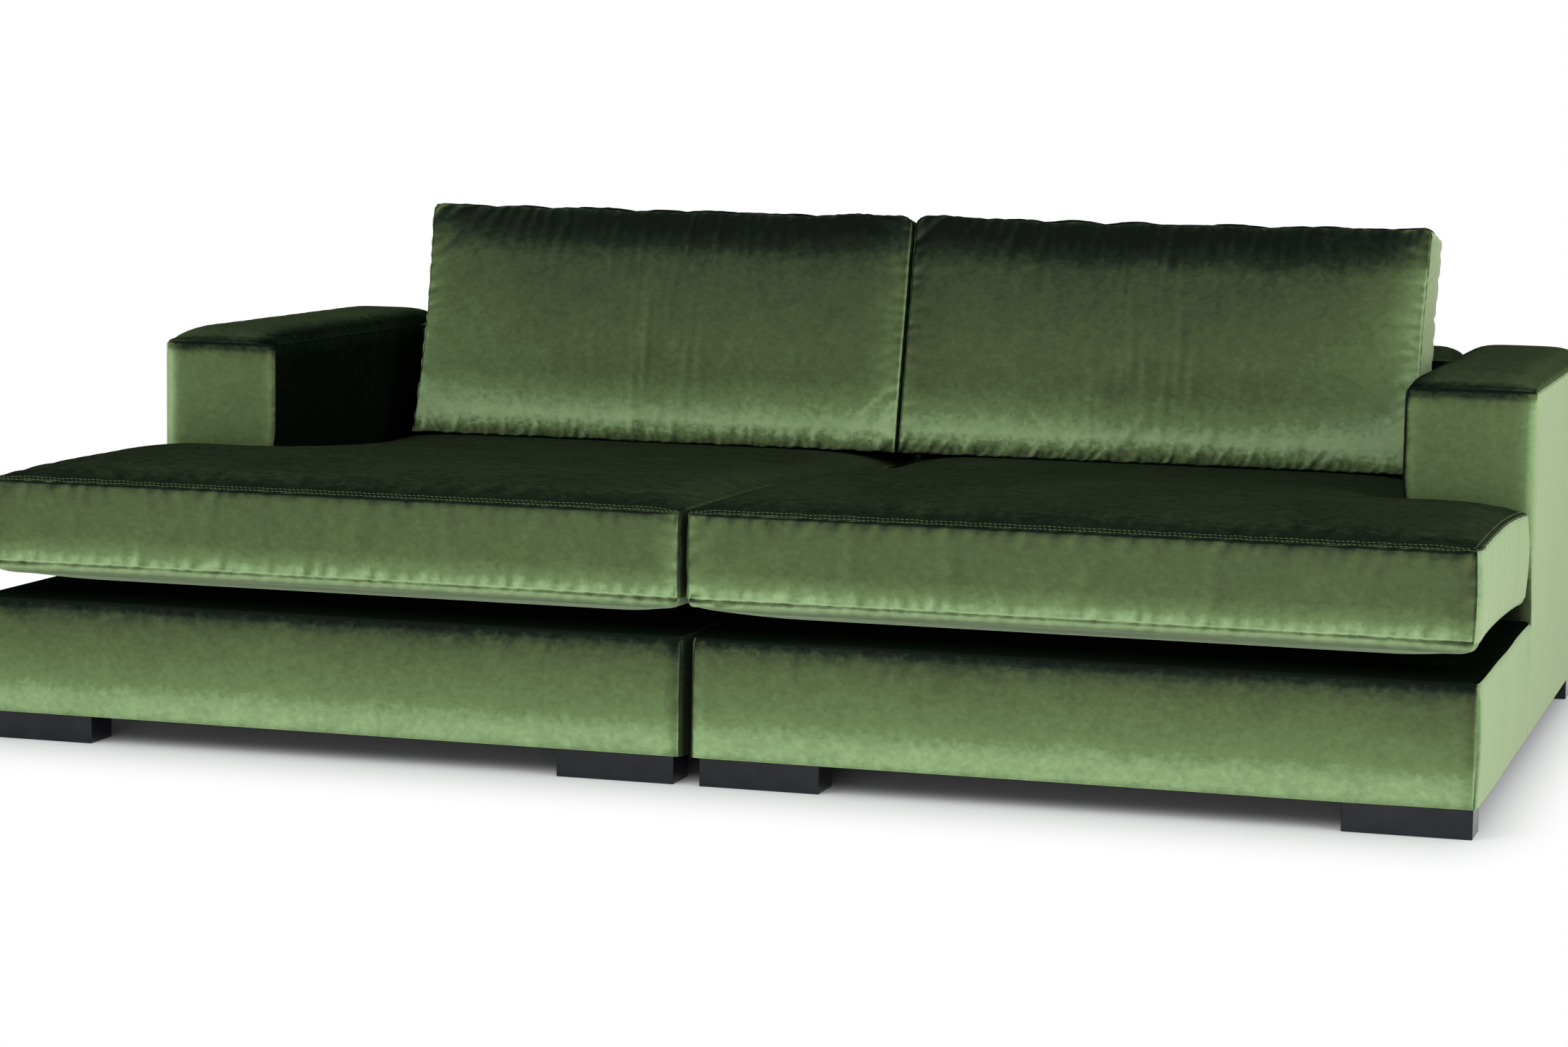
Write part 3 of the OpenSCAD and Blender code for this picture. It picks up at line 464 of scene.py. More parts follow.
def seat_form(flat, members, side, crown):
    """Places on the finished cushion of the places on the flat one."""
    low, high, notch = seat_outline()
    x, y, height = flat.T.copy()
    inset = np.minimum.reduce(
        [x - low[0], high[0] - x, y - low[1], high[1] - y,
         np.hypot(np.maximum(notch[0] - x, 0), np.maximum(notch[1] - y, 0))]
    )
    inset = np.maximum(inset, 0)
    walls = members[FRONT] | members[REAR] | members[INNER] | members[OUTER]
    beside_arm = members[OUTER] & (flat[:, 1] > notch[1] + HAIR)
    most = np.where(members[INNER], SEAT_PRESSED, SEAT_SWELL)
    swell = most * np.sin(math.pi * height / SEAT_BOXING) * walls * ~beside_arm
    way_x = members[OUTER] * 1.0 - members[INNER] * 1.0
    way_y = members[REAR] * 1.0 - members[FRONT] * 1.0
    draw_front = SEAT_DRAW * np.sin(math.pi * (x - low[0]) / (high[0] - low[0]))
    toward_arm = np.clip((y - low[1]) / (notch[1] - low[1]), 0, 1)
    draw_outer = SEAT_DRAW * np.sin(math.pi * toward_arm)
    front_near = np.exp(-(y - low[1]) / SEAT_DRAW_RUN)
    outer_near = np.exp(-(high[0] - x) / SEAT_DRAW_RUN)
    x, y = rounded(x, y, (low[0], low[1]), (1, 1), SEAT_SPLIT_CORNER)
    for corner, inward in (
        ((high[0], low[1]), (-1, 1)), ((high[0], notch[1]), (-1, -1)),
        ((notch[0], high[1]), (-1, -1)), ((low[0], high[1]), (1, -1)),
    ):
        x, y = rounded(x, y, corner, inward, SEAT_CORNER)
    out = np.stack([way_x, way_y], 1)
    out /= np.maximum(np.linalg.norm(out, axis=1), 1)[:, None]
    seam = seat_seam_height(y)
    bottom = SEAT_SEAM - SEAT_BOXING - SEAT_SAG * toward_arm**2 * outer_near
    deck = BASE_HIGH.z + SEAT_REST
    share = height / SEAT_BOXING
    z = bottom + share * (seam - bottom)
    z = np.where(members[TOP], seam + crown * SEAT_CROWN * (1 - np.exp(-inset / SEAT_CROWN_RUN)), z)
    bag = SEAT_BAG * (inset / SEAT_BAG_RUN) * np.exp(1 - inset / SEAT_BAG_RUN)
    roll = deck + (bottom - deck) * np.exp(-inset / SEAT_ROLL_RUN) - bag
    z = np.where(members[BOTTOM], np.maximum(roll, deck), z)
    back = (y - low[1]) / (high[1] - low[1])
    parting = SEAT_PARTING * eased((back - SEAT_PARTING_START) / SEAT_PARTING_SHARE)
    drift = side * SEAT_DRIFT * (2 * back - 1) + parting
    split_near = np.clip(1 - (x - low[0]) / SEAT_DRIFT_RUN, 0, 1)
    x = x + out[:, 0] * swell + drift * split_near - draw_outer * outer_near
    y = y + out[:, 1] * swell + draw_front * front_near
    return np.stack([x, y, z], 1)


def seat_cushion(module, side):
    low, high, notch = seat_outline()
    xs, ys = notched_lines(low, high, notch, SEAT_CELL)
    zs = mesh_lines(low[2], high[2], SEAT_CELL)
    piece = panel_box(f"{module}_seat_cushion", xs, ys, zs, notch)
    mesh = piece.data
    flat, members = flat_places(mesh), panel_members(mesh)
    place(mesh, seat_form(flat, members, side, SEAT_START_CROWN))
    keep_calm_normals(mesh)
    under, pressed, free, top = SEAT_CAPS
    caps = np.select(
        [members[BOTTOM], members[INNER] | members[REAR], members[FRONT] | members[OUTER]],
        [under, pressed, free], top,
    )
    behind = (flat[:, 1] > notch[1] - HAIR) & (members[OUTER] | members[REAR])
    caps = np.where(behind, pressed, caps)
    inflate(piece, members.sum(0) > 1, caps, SEAT_SPARE)
    subdivide(piece)
    sew(piece, low, high, SEAT_GROOVE, SEAT_BEAD, SEAT_PLAIN)
    press_folds(piece, low, high, SEAT_FOLDS, (SEAT_SEED + side) * 100)
    mirrored(piece, side)
    return piece


def seam_row(piece, panel, axis, at):
    """Places and normals along the mesh line of a panel that stands at a place on one axis."""
    mesh = piece.data
    flat = flat_places(mesh)
    chosen = np.flatnonzero(panel_members(mesh)[panel] & (np.abs(flat[:, axis] - at) < 1e-5))
    chosen = chosen[np.argsort(flat[chosen, 1 - axis])]
    return coordinates(mesh)[chosen], vertex_normals(mesh)[chosen]


def seat_stitching(piece):
    """Rows of short threads beside the top seam, at the front and at the open end."""
    low, high, _ = seat_outline()
    bpy.ops.object.select_all(action="DESELECT")
    bpy.ops.curve.primitive_bezier_curve_add()
    thread = bpy.context.object
    thread.name = f"{piece.name}_stitching"
    curve = thread.data
    curve.splines.clear()
    curve.bevel_depth, curve.bevel_resolution, curve.use_fill_caps = THREAD, 1, True
    for inset in STITCH_ROWS:
        for axis, at in ((1, low[1] + inset), (0, high[0] - inset)):
            places, normals = seam_row(piece, TOP, axis, at)
            steps = np.linalg.norm(np.diff(places, axis=0), axis=1)
            along = np.concatenate([[0], np.cumsum(steps)])
            for start in np.arange(inset, along[-1] - inset - STITCH, STITCH + STITCH_GAP):
                reach = start + STITCH * np.array(STITCH_STEPS)
                line = np.stack([np.interp(reach, along, places[:, i]) for i in range(3)], 1)
                out = np.stack([np.interp(reach, along, normals[:, i]) for i in range(3)], 1)
                line += out * THREAD * np.array(STITCH_LIFTS)[:, None]
                spline = curve.splines.new("POLY")
                spline.points.add(len(line) - 1)
                line = np.concatenate([line, np.ones((len(line), 1))], 1)
                spline.points.foreach_set("co", line.ravel())
    bpy.ops.object.convert(target="MESH")
    bpy.ops.object.mode_set(mode="EDIT")
    bpy.ops.mesh.select_all(action="SELECT")
    bpy.ops.mesh.normals_make_consistent(inside=False)
    bpy.ops.object.mode_set(mode="OBJECT")
    thread.data.name = thread.name
    thread.data.materials.append(MATERIALS["thread"])
    return thread


# Back cushions
def pillow_section():
    """Directions up the leaning cushion and out of its front, and where its front foot stands."""
    up = np.array([math.sin(PILLOW_LEAN), math.cos(PILLOW_LEAN)])
    out = np.array([-math.cos(PILLOW_LEAN), math.sin(PILLOW_LEAN)])
    foot_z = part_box("right_back_cushion_cover")[0].z
    rear_foot = BACK_LOW.y - PILLOW_CLEAR - (BACK_SEAM - foot_z) * math.tan(PILLOW_LEAN)
    return up, out, np.array([rear_foot - PILLOW_T / math.cos(PILLOW_LEAN), foot_z])


def pillow_form(flat, members, side, crown):
    """Places on the finished cushion of the places on the flat one. Its outer end is at +X."""
    up, out, foot = pillow_section()
    x, depth, height = flat.T.copy()
    for way in (-1, 1):
        x, height = rounded(x, height, (way * PILLOW_HALF, PILLOW_H), (-way, -1), PILLOW_ROUND)
    share = height / PILLOW_H
    full = 1 - np.abs(x / PILLOW_HALF) ** 4
    top = (foot + PILLOW_H * up)[None] - (PILLOW_DRAW * full)[:, None] * up
    front = foot + share[:, None] * (top - foot)
    belly = np.sin(math.pi * np.clip(share, 0, 1)) ** 0.7
    belly = belly * np.where(share < 0.5, eased(2 * share + 0.15), 1)
    back = depth / PILLOW_T
    rear_foot = foot + np.array([PILLOW_T / math.cos(PILLOW_LEAN), 0])
    ends = np.abs(x) / PILLOW_HALF
    rear_top = top - PILLOW_T * out
    rear_top[:, 1] += PILLOW_CORNER_LIFT * ends**4 * (x > 0)
    rear = rear_foot + share[:, None] * (rear_top - rear_foot)
    section = front + back[:, None] * (rear - front)
    bulge = crown * PILLOW_CROWN * full * belly * members[FRONT]
    rise = PILLOW_TOP_CROWN * full * np.sin(math.pi * back) * members[TOP]
    section = section + bulge[:, None] * out + rise[:, None] * up
    mid = np.sin(math.pi * np.clip(share, 0, 1))
    drawn = mid * ends * np.where(x > 0, PILLOW_DRAW, 0)
    # The inner side is pressed flat by its neighbour, so its seam lies where the swell would end
    outer_swell = PILLOW_SIDE_CROWN * mid * np.sin(math.pi * back) * members[OUTER]
    side_swell = np.where(x > 0, outer_swell, PILLOW_SIDE_CROWN * ends)
    centre = side * PILLOW_SPLIT + PILLOW_GAP / 2 + PILLOW_HALF + PILLOW_SIDE_CROWN
    x = centre + np.sign(x) * (np.abs(x) - drawn + side_swell)
    return np.stack([x, section[:, 0], section[:, 1]], 1)


def back_cushion(module, side):
    low = np.array([-PILLOW_HALF, 0, 0])
    high = np.array([PILLOW_HALF, PILLOW_T, PILLOW_H])
    lines = [mesh_lines(low[axis], high[axis], PILLOW_CELL) for axis in range(3)]
    piece = panel_box(f"{module}_back_cushion", *lines)
    mesh = piece.data
    flat, members = flat_places(mesh), panel_members(mesh)
    humps = ripple(flat, PILLOW_WAVE_SEED + side, PILLOW_WAVE_SIZE)
    waves = PILLOW_WAVE * humps * (flat[:, 2] / PILLOW_H)
    places = pillow_form(flat, members, side, PILLOW_START_CROWN)
    places[:, 2] += waves
    places[:, 1] += 0.5 * waves * (members[FRONT] | members[TOP])
    place(mesh, places)
    keep_calm_normals(mesh)
    foot, leaning, free, ends, front = PILLOW_CAPS
    caps = np.select(
        [members[BOTTOM], members[REAR], members[INNER] | members[OUTER], members[TOP]],
        [foot, np.where(flat[:, 2] > PILLOW_LEANS_TO, free, leaning), ends, free], front,
    )
    inflate(piece, members.sum(0) > 1, caps, PILLOW_SPARE)
    subdivide(piece)
    sew(piece, low, high, PILLOW_GROOVE, PILLOW_BEAD, PILLOW_PLAIN)
    press_folds(piece, low, high, PILLOW_FOLDS, (PILLOW_SEED + side) * 100)
    mirrored(piece, side)
    return piece


# Covers of the frame
def finish_cover(piece, side, low, high, rows, seed, plain):
    """Softens a cover, presses its folds, and gives the cloth its thickness and the piece its side."""
    keep_calm_normals(piece.data)
    subdivide(piece)
    sew(piece, low, high, COVER_GROOVE, COVER_BEAD, plain)
    press_folds(piece, low, high, rows, (seed + side) * 100)
    wall = piece.modifiers.new("wall", "SOLIDIFY")
    wall.thickness, wall.offset = COVER_WALL, -1
    apply_modifiers(piece)
    mirrored(piece, side)
    return piece


def base_cover(module, side):
    low, high = np.array(BASE_LOW), np.array(BASE_HIGH)
    notch = (ARM_LOW.x, ARM_LOW.y)
    xs, ys = notched_lines(low, high, notch, COVER_CELL)
    zs = mesh_lines(low[2], high[2], COVER_CELL)
    piece = panel_box(f"{module}_base_velvet", xs, ys, zs, notch, open_bottom=True)
    mesh = piece.data
    flat, members = flat_places(mesh), panel_members(mesh)
    x, y, z = flat.T.copy()
    share = (z - low[2]) / (high[2] - low[2])
    humps = ripple(flat, BASE_RIPPLE_SEED + side, BASE_RIPPLE_SIZE)
    bulge = BASE_BULGE * np.sin(math.pi * share) + BASE_RIPPLE * humps
    for corner, inward in (((low[0], low[1]), (1, 1)), ((high[0], low[1]), (-1, 1))):
        x, y = rounded(x, y, corner, inward, COVER_CORNER)
    for edge, inward in ((low[0], 1), (high[0], -1)):
        x, z = rounded(x, z, (edge, high[2]), (inward, -1), COVER_EDGE)
    y, z = rounded(y, z, (low[1], high[2]), (1, -1), COVER_EDGE)
    y = y - bulge * members[FRONT]
    x = x + BASE_SIDE_SHARE * bulge * members[OUTER] * (flat[:, 0] > notch[0] + HAIR)
    place(mesh, np.stack([x, y, z], 1))
    return finish_cover(piece, side, low, high, BASE_FOLDS, BASE_SEED, BASE_PLAIN)


def arm_cover(module, side):
    low, high = np.array(ARM_LOW), np.array(ARM_HIGH)
    flat_high = np.array([high[0], high[1], ARM_SEAM])
    lines = [mesh_lines(low[axis], flat_high[axis], COVER_CELL) for axis in range(3)]
    piece = panel_box(f"{module}_arm_velvet", *lines, open_bottom=True)
    mesh = piece.data
    flat, members = flat_places(mesh), panel_members(mesh)
    x, y, z = flat.T.copy()
    across = (x - (low[0] + high[0]) / 2) / (high[0] - low[0]) * 2
    end_share = np.minimum((y - low[1]) / ARM_EASE, (high[1] - y) / (ARM_REAR_SHARE * ARM_EASE))
    rise = ARM_CROWN * (1 - across**6) * np.sin(math.pi / 2 * np.clip(end_share, 0, 1)) ** 0.8
    x, z = rounded(x, z, (low[0], ARM_SEAM), (1, -1), ARM_WRAP)
    x, z = rounded(x, z, (high[0], ARM_SEAM), (-1, -1), ARM_OUTER_WRAP)
    z = z + rise * members[TOP]
    # Above the deck the upright outer corner is soft, and below it meets the base
    above_base = eased((z - BASE_HIGH.z) / ARM_SOFT_RUN)
    soft = ARM_SEAM_ROUND + (ARM_SOFT_ROUND - ARM_SEAM_ROUND) * above_base
    x, y = rounded(x, y, (high[0], low[1]), (-1, 1), soft)
    above_seat = eased((z - SEAT_SEAM) / ARM_PUFF_RUN)
    x = x - ARM_PUFF * (above_seat * np.clip((high[0] - x) / (high[0] - low[0]), 0, 1) ** 4)
    tall = (flat[:, 2] - low[2]) / (ARM_SEAM - low[2])
    humps = ripple(flat, ARM_RIPPLE_SEED + side, ARM_RIPPLE_SIZE)
    bulge = ARM_BULGE * np.sin(math.pi * tall) + ARM_RIPPLE * humps
    y = y - bulge * members[FRONT] * (1 - across**2)
    place(mesh, np.stack([x, y, z], 1))
    return finish_cover(piece, side, low, flat_high, ARM_FOLDS, ARM_SEED, ARM_PLAIN)


def back_cover(module, side):
    low, high = np.array(BACK_LOW), np.array(BACK_HIGH)
    flat_high = np.array([high[0], high[1], BACK_SEAM])
    lines = [mesh_lines(low[axis], flat_high[axis], COVER_CELL) for axis in range(3)]
    piece = panel_box(f"{module}_back_velvet", *lines, open_bottom=True)
    mesh = piece.data
    flat, members = flat_places(mesh), panel_members(mesh)
    x, y, z = flat.T.copy()
    across = (y - (low[1] + high[1]) / 2) / (high[1] - low[1]) * 2
    end_share = np.minimum(x - low[0], high[0] - x) / BACK_EASE
    rise = BACK_CROWN * (1 - across**2) * np.sin(math.pi / 2 * np.clip(end_share, 0, 1)) ** 0.8
    z = z + rise * members[TOP]
    place(mesh, np.stack([x, y, z], 1))
    return finish_cover(piece, side, low, flat_high, BACK_FOLDS, BACK_SEED, BACK_PLAIN)


# Materials
def node_group(name, inputs, outputs):
    group = bpy.data.node_groups.new(name, "ShaderNodeTree")
    for label, kind, value in inputs:
        socket = group.interface.new_socket(name=label, in_out="INPUT", socket_type=kind)
        if value is not None:
            socket.default_value = value
    for label, kind in outputs:
        group.interface.new_socket(name=label, in_out="OUTPUT", socket_type=kind)
    return group, group.nodes.new("NodeGroupInput"), group.nodes.new("NodeGroupOutput")


def add(tree, kind, values=None, links=None, **settings):
    """A node with its settings, its sockets' values and the outputs that feed it."""
    node = tree.nodes.new(kind)
    for key, value in settings.items():
        setattr(node, key, value)
    for socket, value in (values or {}).items():
        node.inputs[socket].default_value = value
    for socket, source in (links or {}).items():
        tree.links.new(source, node.inputs[socket])
    return node


def math_node(tree, operation, first, second=None, **settings):
    node = tree.nodes.new("ShaderNodeMath")
    node.operation = operation
    for key, value in settings.items():
        setattr(node, key, value)
    for index, value in enumerate((first, second)):
        if value is None:
            continue
        if isinstance(value, (int, float)):
            node.inputs[index].default_value = value
        else:
            tree.links.new(value, node.inputs[index])
    return node.outputs[0]


def vector_node(tree, operation, first, second=None):
    values = {} if second is None else {1: second}
    return add(tree, "ShaderNodeVectorMath", values, {0: first}, operation=operation)


def object_places(tree):
    return add(tree, "ShaderNodeTexCoord").outputs["Object"]


def noise(tree, at, scale, detail, roughness=0.5, distortion=0.0):
    values = {"Scale": scale, "Detail": detail, "Roughness": roughness, "Distortion": distortion}
    return add(tree, "ShaderNodeTexNoise", values, {"Vector": at}).outputs[0]


def ramp(tree, factor, stops, interpolation="EASE"):
    node = tree.nodes.new("ShaderNodeValToRGB")
    node.color_ramp.interpolation = interpolation
    elements = node.color_ramp.elements
    while len(elements) < len(stops):
        elements.new(0.5)
    for element, (position, colour) in zip(elements, stops):
        element.position = position
        element.color = (*colour, 1)
    tree.links.new(factor, node.inputs[0])
    return node.outputs[0]


def new_material(name, **values):
    """A material with values on its shader's own sockets, whose names have _ for a space here."""
    material = bpy.data.materials.new(name)
    material.use_nodes = True
    shader = material.node_tree.nodes["Principled BSDF"]
    for socket, value in values.items():
        shader.inputs[socket.replace("_", " ")].default_value = value
    return material, material.node_tree, shader


def colour_by(tree, shader, factor, stops):
    tree.links.new(ramp(tree, factor, stops), shader.inputs["Base Color"])


def roughness_by(tree, shader, factor, least, most):
    spread = add(tree, "ShaderNodeMapRange", {"To Min": least, "To Max": most}, {"Value": factor})
    tree.links.new(spread.outputs[0], shader.inputs["Roughness"])


def relief(tree, shader, height, strength, distance):
    bump = add(tree, "ShaderNodeBump", {"Strength": strength, "Distance": distance}, {"Height": height})
    tree.links.new(bump.outputs[0], shader.inputs["Normal"])


# Colour of the velvet by the level of its tone and painted light, from painted shade through the
# cloth's own green to a painted highlight
CLOTH_AND_PAINTED_LIGHT_STOPS = [
    (0.0, (0.003, 0.0055, 0.003)),
    (0.15, (0.0115, 0.0180, 0.0100)),
    (0.30, (0.036, 0.052, 0.0235)),
    (0.45, (0.072, 0.101, 0.040)),
    (0.65, (0.130, 0.198, 0.080)),
    (0.82, (0.255, 0.375, 0.180)),
    (1.0, (0.400, 0.485, 0.255)),
]
PILE_ROUGHNESS, PILE_ROUGH_SPREAD = 0.62, 0.2
# Pitch in metres of the wave node's bands at a scale of 1
WAVE_PITCH = 0.31415


def crushed_pile_and_painted_light_group():
    """Velvet pile that was pressed in flecks: its colour by its tone and painted light, its roughness
    and its relief.
    """
    group, start, end = node_group(
        "crushed pile",
        [("Tone_and_painted_light", "NodeSocketFloat", 0.5), ("Crush", "NodeSocketFloat", 0.2)],
        [("Color", "NodeSocketColor"), ("Roughness", "NodeSocketFloat"), ("Height", "NodeSocketFloat")],
    )
    at = object_places(group)
    slant = {"Rotation": (0, math.radians(16), 0), "Scale": (0.75, 0.8, 1)}
    leaning = add(group, "ShaderNodeMapping", slant, {"Vector": at}).outputs[0]
    flecks = []
    for places, scale, detail, twist, weight in (
        (at, 3.5, 2.0, 0.3, 0.45), (at, 34.0, 4.0, 0.8, 0.70),
        (leaning, 110.0, 3.0, 0.4, 0.85), (at, 600.0, 2.0, 0.0, 0.30),
    ):
        level = math_node(group, "SUBTRACT", noise(group, places, scale, detail, 0.58, twist), 0.5)
        flecks.append(math_node(group, "MULTIPLY", level, weight))
    total = flecks[0]
    for fleck in flecks[1:]:
        total = math_node(group, "ADD", total, fleck)
    shift = math_node(group, "MULTIPLY", total, start.outputs["Crush"])
    tone_and_painted_light = math_node(group, "ADD", start.outputs["Tone_and_painted_light"], shift, use_clamp=True)
    rough = math_node(group, "MULTIPLY_ADD", total, PILE_ROUGH_SPREAD)
    rough.node.inputs[2].default_value = PILE_ROUGHNESS
    group.links.new(ramp(group, tone_and_painted_light, CLOTH_AND_PAINTED_LIGHT_STOPS, "LINEAR"), end.inputs["Color"])
    group.links.new(rough, end.inputs["Roughness"])
    group.links.new(math_node(group, "ADD", flecks[1], flecks[2]), end.inputs["Height"])
    return group


def velvet(name, pile, sheen, gloss):
    material, tree, shader = new_material(
        name, Specular_IOR_Level=gloss, Sheen_Weight=sheen, Sheen_Roughness=0.35,
        Sheen_Tint=(0.72, 0.92, 0.60, 1),
    )
    group = add(tree, "ShaderNodeGroup", node_tree=pile)
    for attribute, socket in (("tone_and_painted_light", "Tone_and_painted_light"), ("crush", "Crush")):
        source = add(tree, "ShaderNodeAttribute", attribute_name=attribute)
        tree.links.new(source.outputs["Fac"], group.inputs[socket])
    tree.links.new(group.outputs["Color"], shader.inputs["Base Color"])
    tree.links.new(group.outputs["Roughness"], shader.inputs["Roughness"])
    relief(tree, shader, group.outputs["Height"], 0.2, 0.003)
    return material


def grained(name, dark, light, scale, stretch, roughness):
    """A material whose colour runs in a stretched grain."""
    material, tree, shader = new_material(name, Roughness=roughness)
    along = {"Vector": object_places(tree)}
    run = add(tree, "ShaderNodeMapping", {"Scale": stretch}, along).outputs[0]
    grain = noise(tree, run, scale, 6.0, 0.65, 0.8)
    colour_by(tree, shader, grain, [(0.3, dark), (0.7, light)])
    relief(tree, shader, grain, 0.4, 0.0004)
    return material


def woven(name, dark, light, pitch, roughness):
    """A plain weave of the given pitch in metres."""
    material, tree, shader = new_material(name, Roughness=roughness)
    values = {"Scale": WAVE_PITCH / pitch, "Distortion": 0.4, "Detail": 1.0}
    along = {"Vector": object_places(tree)}
    warp, weft = (
        add(tree, "ShaderNodeTexWave", values, along, bands_direction=axis).outputs[1] for axis in "XY"
    )
    weave = math_node(tree, "MULTIPLY", warp, weft)
    colour_by(tree, shader, weave, [(0.1, dark), (0.8, light)])
    relief(tree, shader, weave, 0.5, 0.0004)
    return material


def twisted_thread():
    """Spun sewing thread, a little lighter than the cloth."""
    material, tree, shader = new_material("sewing thread", Roughness=0.6)
    strand = noise(tree, object_places(tree), 900.0, 2.0)
    colour_by(tree, shader, strand, [(0.3, (0.062, 0.087, 0.031)), (0.7, (0.125, 0.165, 0.060))])
    relief(tree, shader, strand, 0.4, 0.0002)
    return material


def black_gloss():
    """Black lacquer over timber, with a faint orange peel and light wear."""
    material, tree, shader = new_material(
        "black gloss lacquer", Specular_IOR_Level=0.24, Coat_Weight=0.12, Coat_Roughness=0.08
    )
    at = object_places(tree)
    smears = noise(tree, at, 22.0, 5.0, 0.6)
    colour_by(tree, shader, smears, [(0.35, (0.003, 0.0035, 0.006)), (0.75, (0.007, 0.008, 0.012))])
    roughness_by(tree, shader, smears, 0.16, 0.30)
    relief(tree, shader, noise(tree, at, 260.0, 2.0), 0.06, 0.0005)
    return material


def zinc():
    """Zinc-plated steel with its spangle."""
    material, tree, shader = new_material("zinc-plated steel", Metallic=1.0)
    spangle = noise(tree, object_places(tree), 160.0, 4.0)
    colour_by(tree, shader, spangle, [(0.3, (0.42, 0.43, 0.45)), (0.7, (0.62, 0.63, 0.64))])
    roughness_by(tree, shader, spangle, 0.25, 0.42)
    return material


pile_group = crushed_pile_and_painted_light_group()
MATERIALS = {
    "velvet": velvet("green velvet", pile_group, 0.05, 0.04),
    "velvet_away": velvet("green velvet, nap away from the light", pile_group, 0.0, 0.0),
    "velvet_toward": velvet("green velvet, nap toward the light", pile_group, 0.4, 0.12),
    "thread": twisted_thread(),
    "timber": grained("sawn pine", (0.30, 0.17, 0.07), (0.58, 0.40, 0.22), 9.0, (1, 1, 8), 0.75),
    "plywood": grained("plywood", (0.26, 0.15, 0.07), (0.50, 0.34, 0.19), 12.0, (6, 1, 1), 0.7),
    "foam": grained("upholstery foam", (0.55, 0.48, 0.28), (0.80, 0.74, 0.52), 420.0, (1, 1, 1), 0.95),
    "webbing": woven("elastic webbing", (0.012, 0.012, 0.014), (0.075, 0.072, 0.068), 0.004, 0.85),
    "dust_cloth": woven("dust cloth", (0.006, 0.006, 0.007), (0.030, 0.030, 0.033), 0.002, 0.9),
    "zinc_steel": zinc(),
    "gloss_black": black_gloss(),
}


# Tone and painted light up each panel, as pairs of its share of the height and its level there: 0 is
# dark and 1 is bright. Tops, inner sides, the back frame's front and the arms' fronts under the seat
# cushions are painted shade, the base's top edge and the deck's front painted shadow under the
# cushions, and outer sides, lower fronts and the seat cushions' undersides painted light.
# Less than 0 stays dark through the flecks of crushed pile, as painted shadow.
SEAT_TONE_AND_PAINTED_LIGHT = {
    BOTTOM: ((0, 0.86),),
    TOP: ((0, 0.20),),
    FRONT: ((0, 0.74), (0.08, 0.70), (0.2, 0.58), (0.35, 0.47), (0.6, 0.45), (0.9, 0.44), (1, 0.40)),
    REAR: ((0, 0.3),),
    INNER: ((0, 0.4), (0.15, 0.2), (0.4, 0.12), (1, 0.10)),
    OUTER: ((0, 0.95), (1, 0.92)),
}
PILLOW_TONE_AND_PAINTED_LIGHT = {
    BOTTOM: ((0, 0.2),),
    TOP: ((0, 0.03),),
    FRONT: (
        (0, 0.14), (0.03, 0.30), (0.06, 0.58), (0.10, 0.80), (0.16, 0.70), (0.28, 0.49),
        (0.6, 0.38), (0.78, 0.32), (0.86, 0.15), (0.92, 0.08), (1, 0.05),
    ),
    REAR: ((0, 0.3),),
    INNER: ((0, 0.2),),
    OUTER: ((0, 0.96),),
}
BASE_TONE_AND_PAINTED_LIGHT = {
    BOTTOM: ((0, 0.5),),
    TOP: ((0, -0.3), (0.06, -0.2), (0.12, 0.13), (1, 0.15)),
    FRONT: (
        (0, 0.70), (0.05, 0.78), (0.18, 0.76), (0.35, 0.60), (0.6, 0.50),
        (0.74, 0.45), (0.84, 0.36), (0.91, 0.16), (0.96, -0.06), (1, -0.30),
    ),
    REAR: ((0, 0.5),),
    INNER: ((0, 0.2), (0.5, 0.14), (1, 0.08)),
    OUTER: ((0, 0.94), (0.9, 0.91), (1, 0.8)),
}
ARM_TONE_AND_PAINTED_LIGHT = {
    BOTTOM: ((0, 0.5),),
    TOP: ((0, 0.29),),
    FRONT: ((0, 0.05), (0.44, 0.05), (0.56, 0.52), (1, 0.52)),
    REAR: ((0, 0.5),),
    INNER: ((0, 0),),
    OUTER: ((0, 0.94),),
}
BACK_TONE_AND_PAINTED_LIGHT = {
    BOTTOM: ((0, 0.5),),
    TOP: ((0, 0.25),),
    FRONT: ((0, 0.05),),
    REAR: ((0, 0.5),),
    INNER: ((0, 0.3),),
    OUTER: ((0, 0.3),),
}
# Painted highlight and painted shade along some edges and seams: panel, edge, amount and reach
BASE_PAINTED_EDGE_LIGHT = (
    (TOP, "end", -0.30, 0.060), (INNER, "start", 0.10, 0.010), (FRONT, "start", -0.08, 0.012),
    (OUTER, "start", -0.22, 0.010),
)
SEAT_PAINTED_EDGE_LIGHT = (
    (FRONT, "start", 0.10, 0.030), (FRONT, "end", -0.05, 0.040), (FRONT, "high", -0.22, 0.007),
    (FRONT, "low", -0.6, 0.0018), (FRONT, "end", -0.14, 0.0040), (BOTTOM, "low", -0.5, 0.0018),
    (INNER, "start", 0.15, 0.010), (OUTER, "start", -0.15, 0.010), (TOP, "low", -0.10, 0.050),
    (TOP, "low", 0.06, 0.010), (TOP, "low", -0.14, 0.004),
)
PILLOW_PAINTED_EDGE_LIGHT = (
    (FRONT, "start", 0.05, 0.045), (FRONT, "end", 0.14, 0.045), (FRONT, "end", 0.10, 0.200),
    (FRONT, "end", -0.6, 0.0020), (OUTER, "start", -0.4, 0.0015),
)
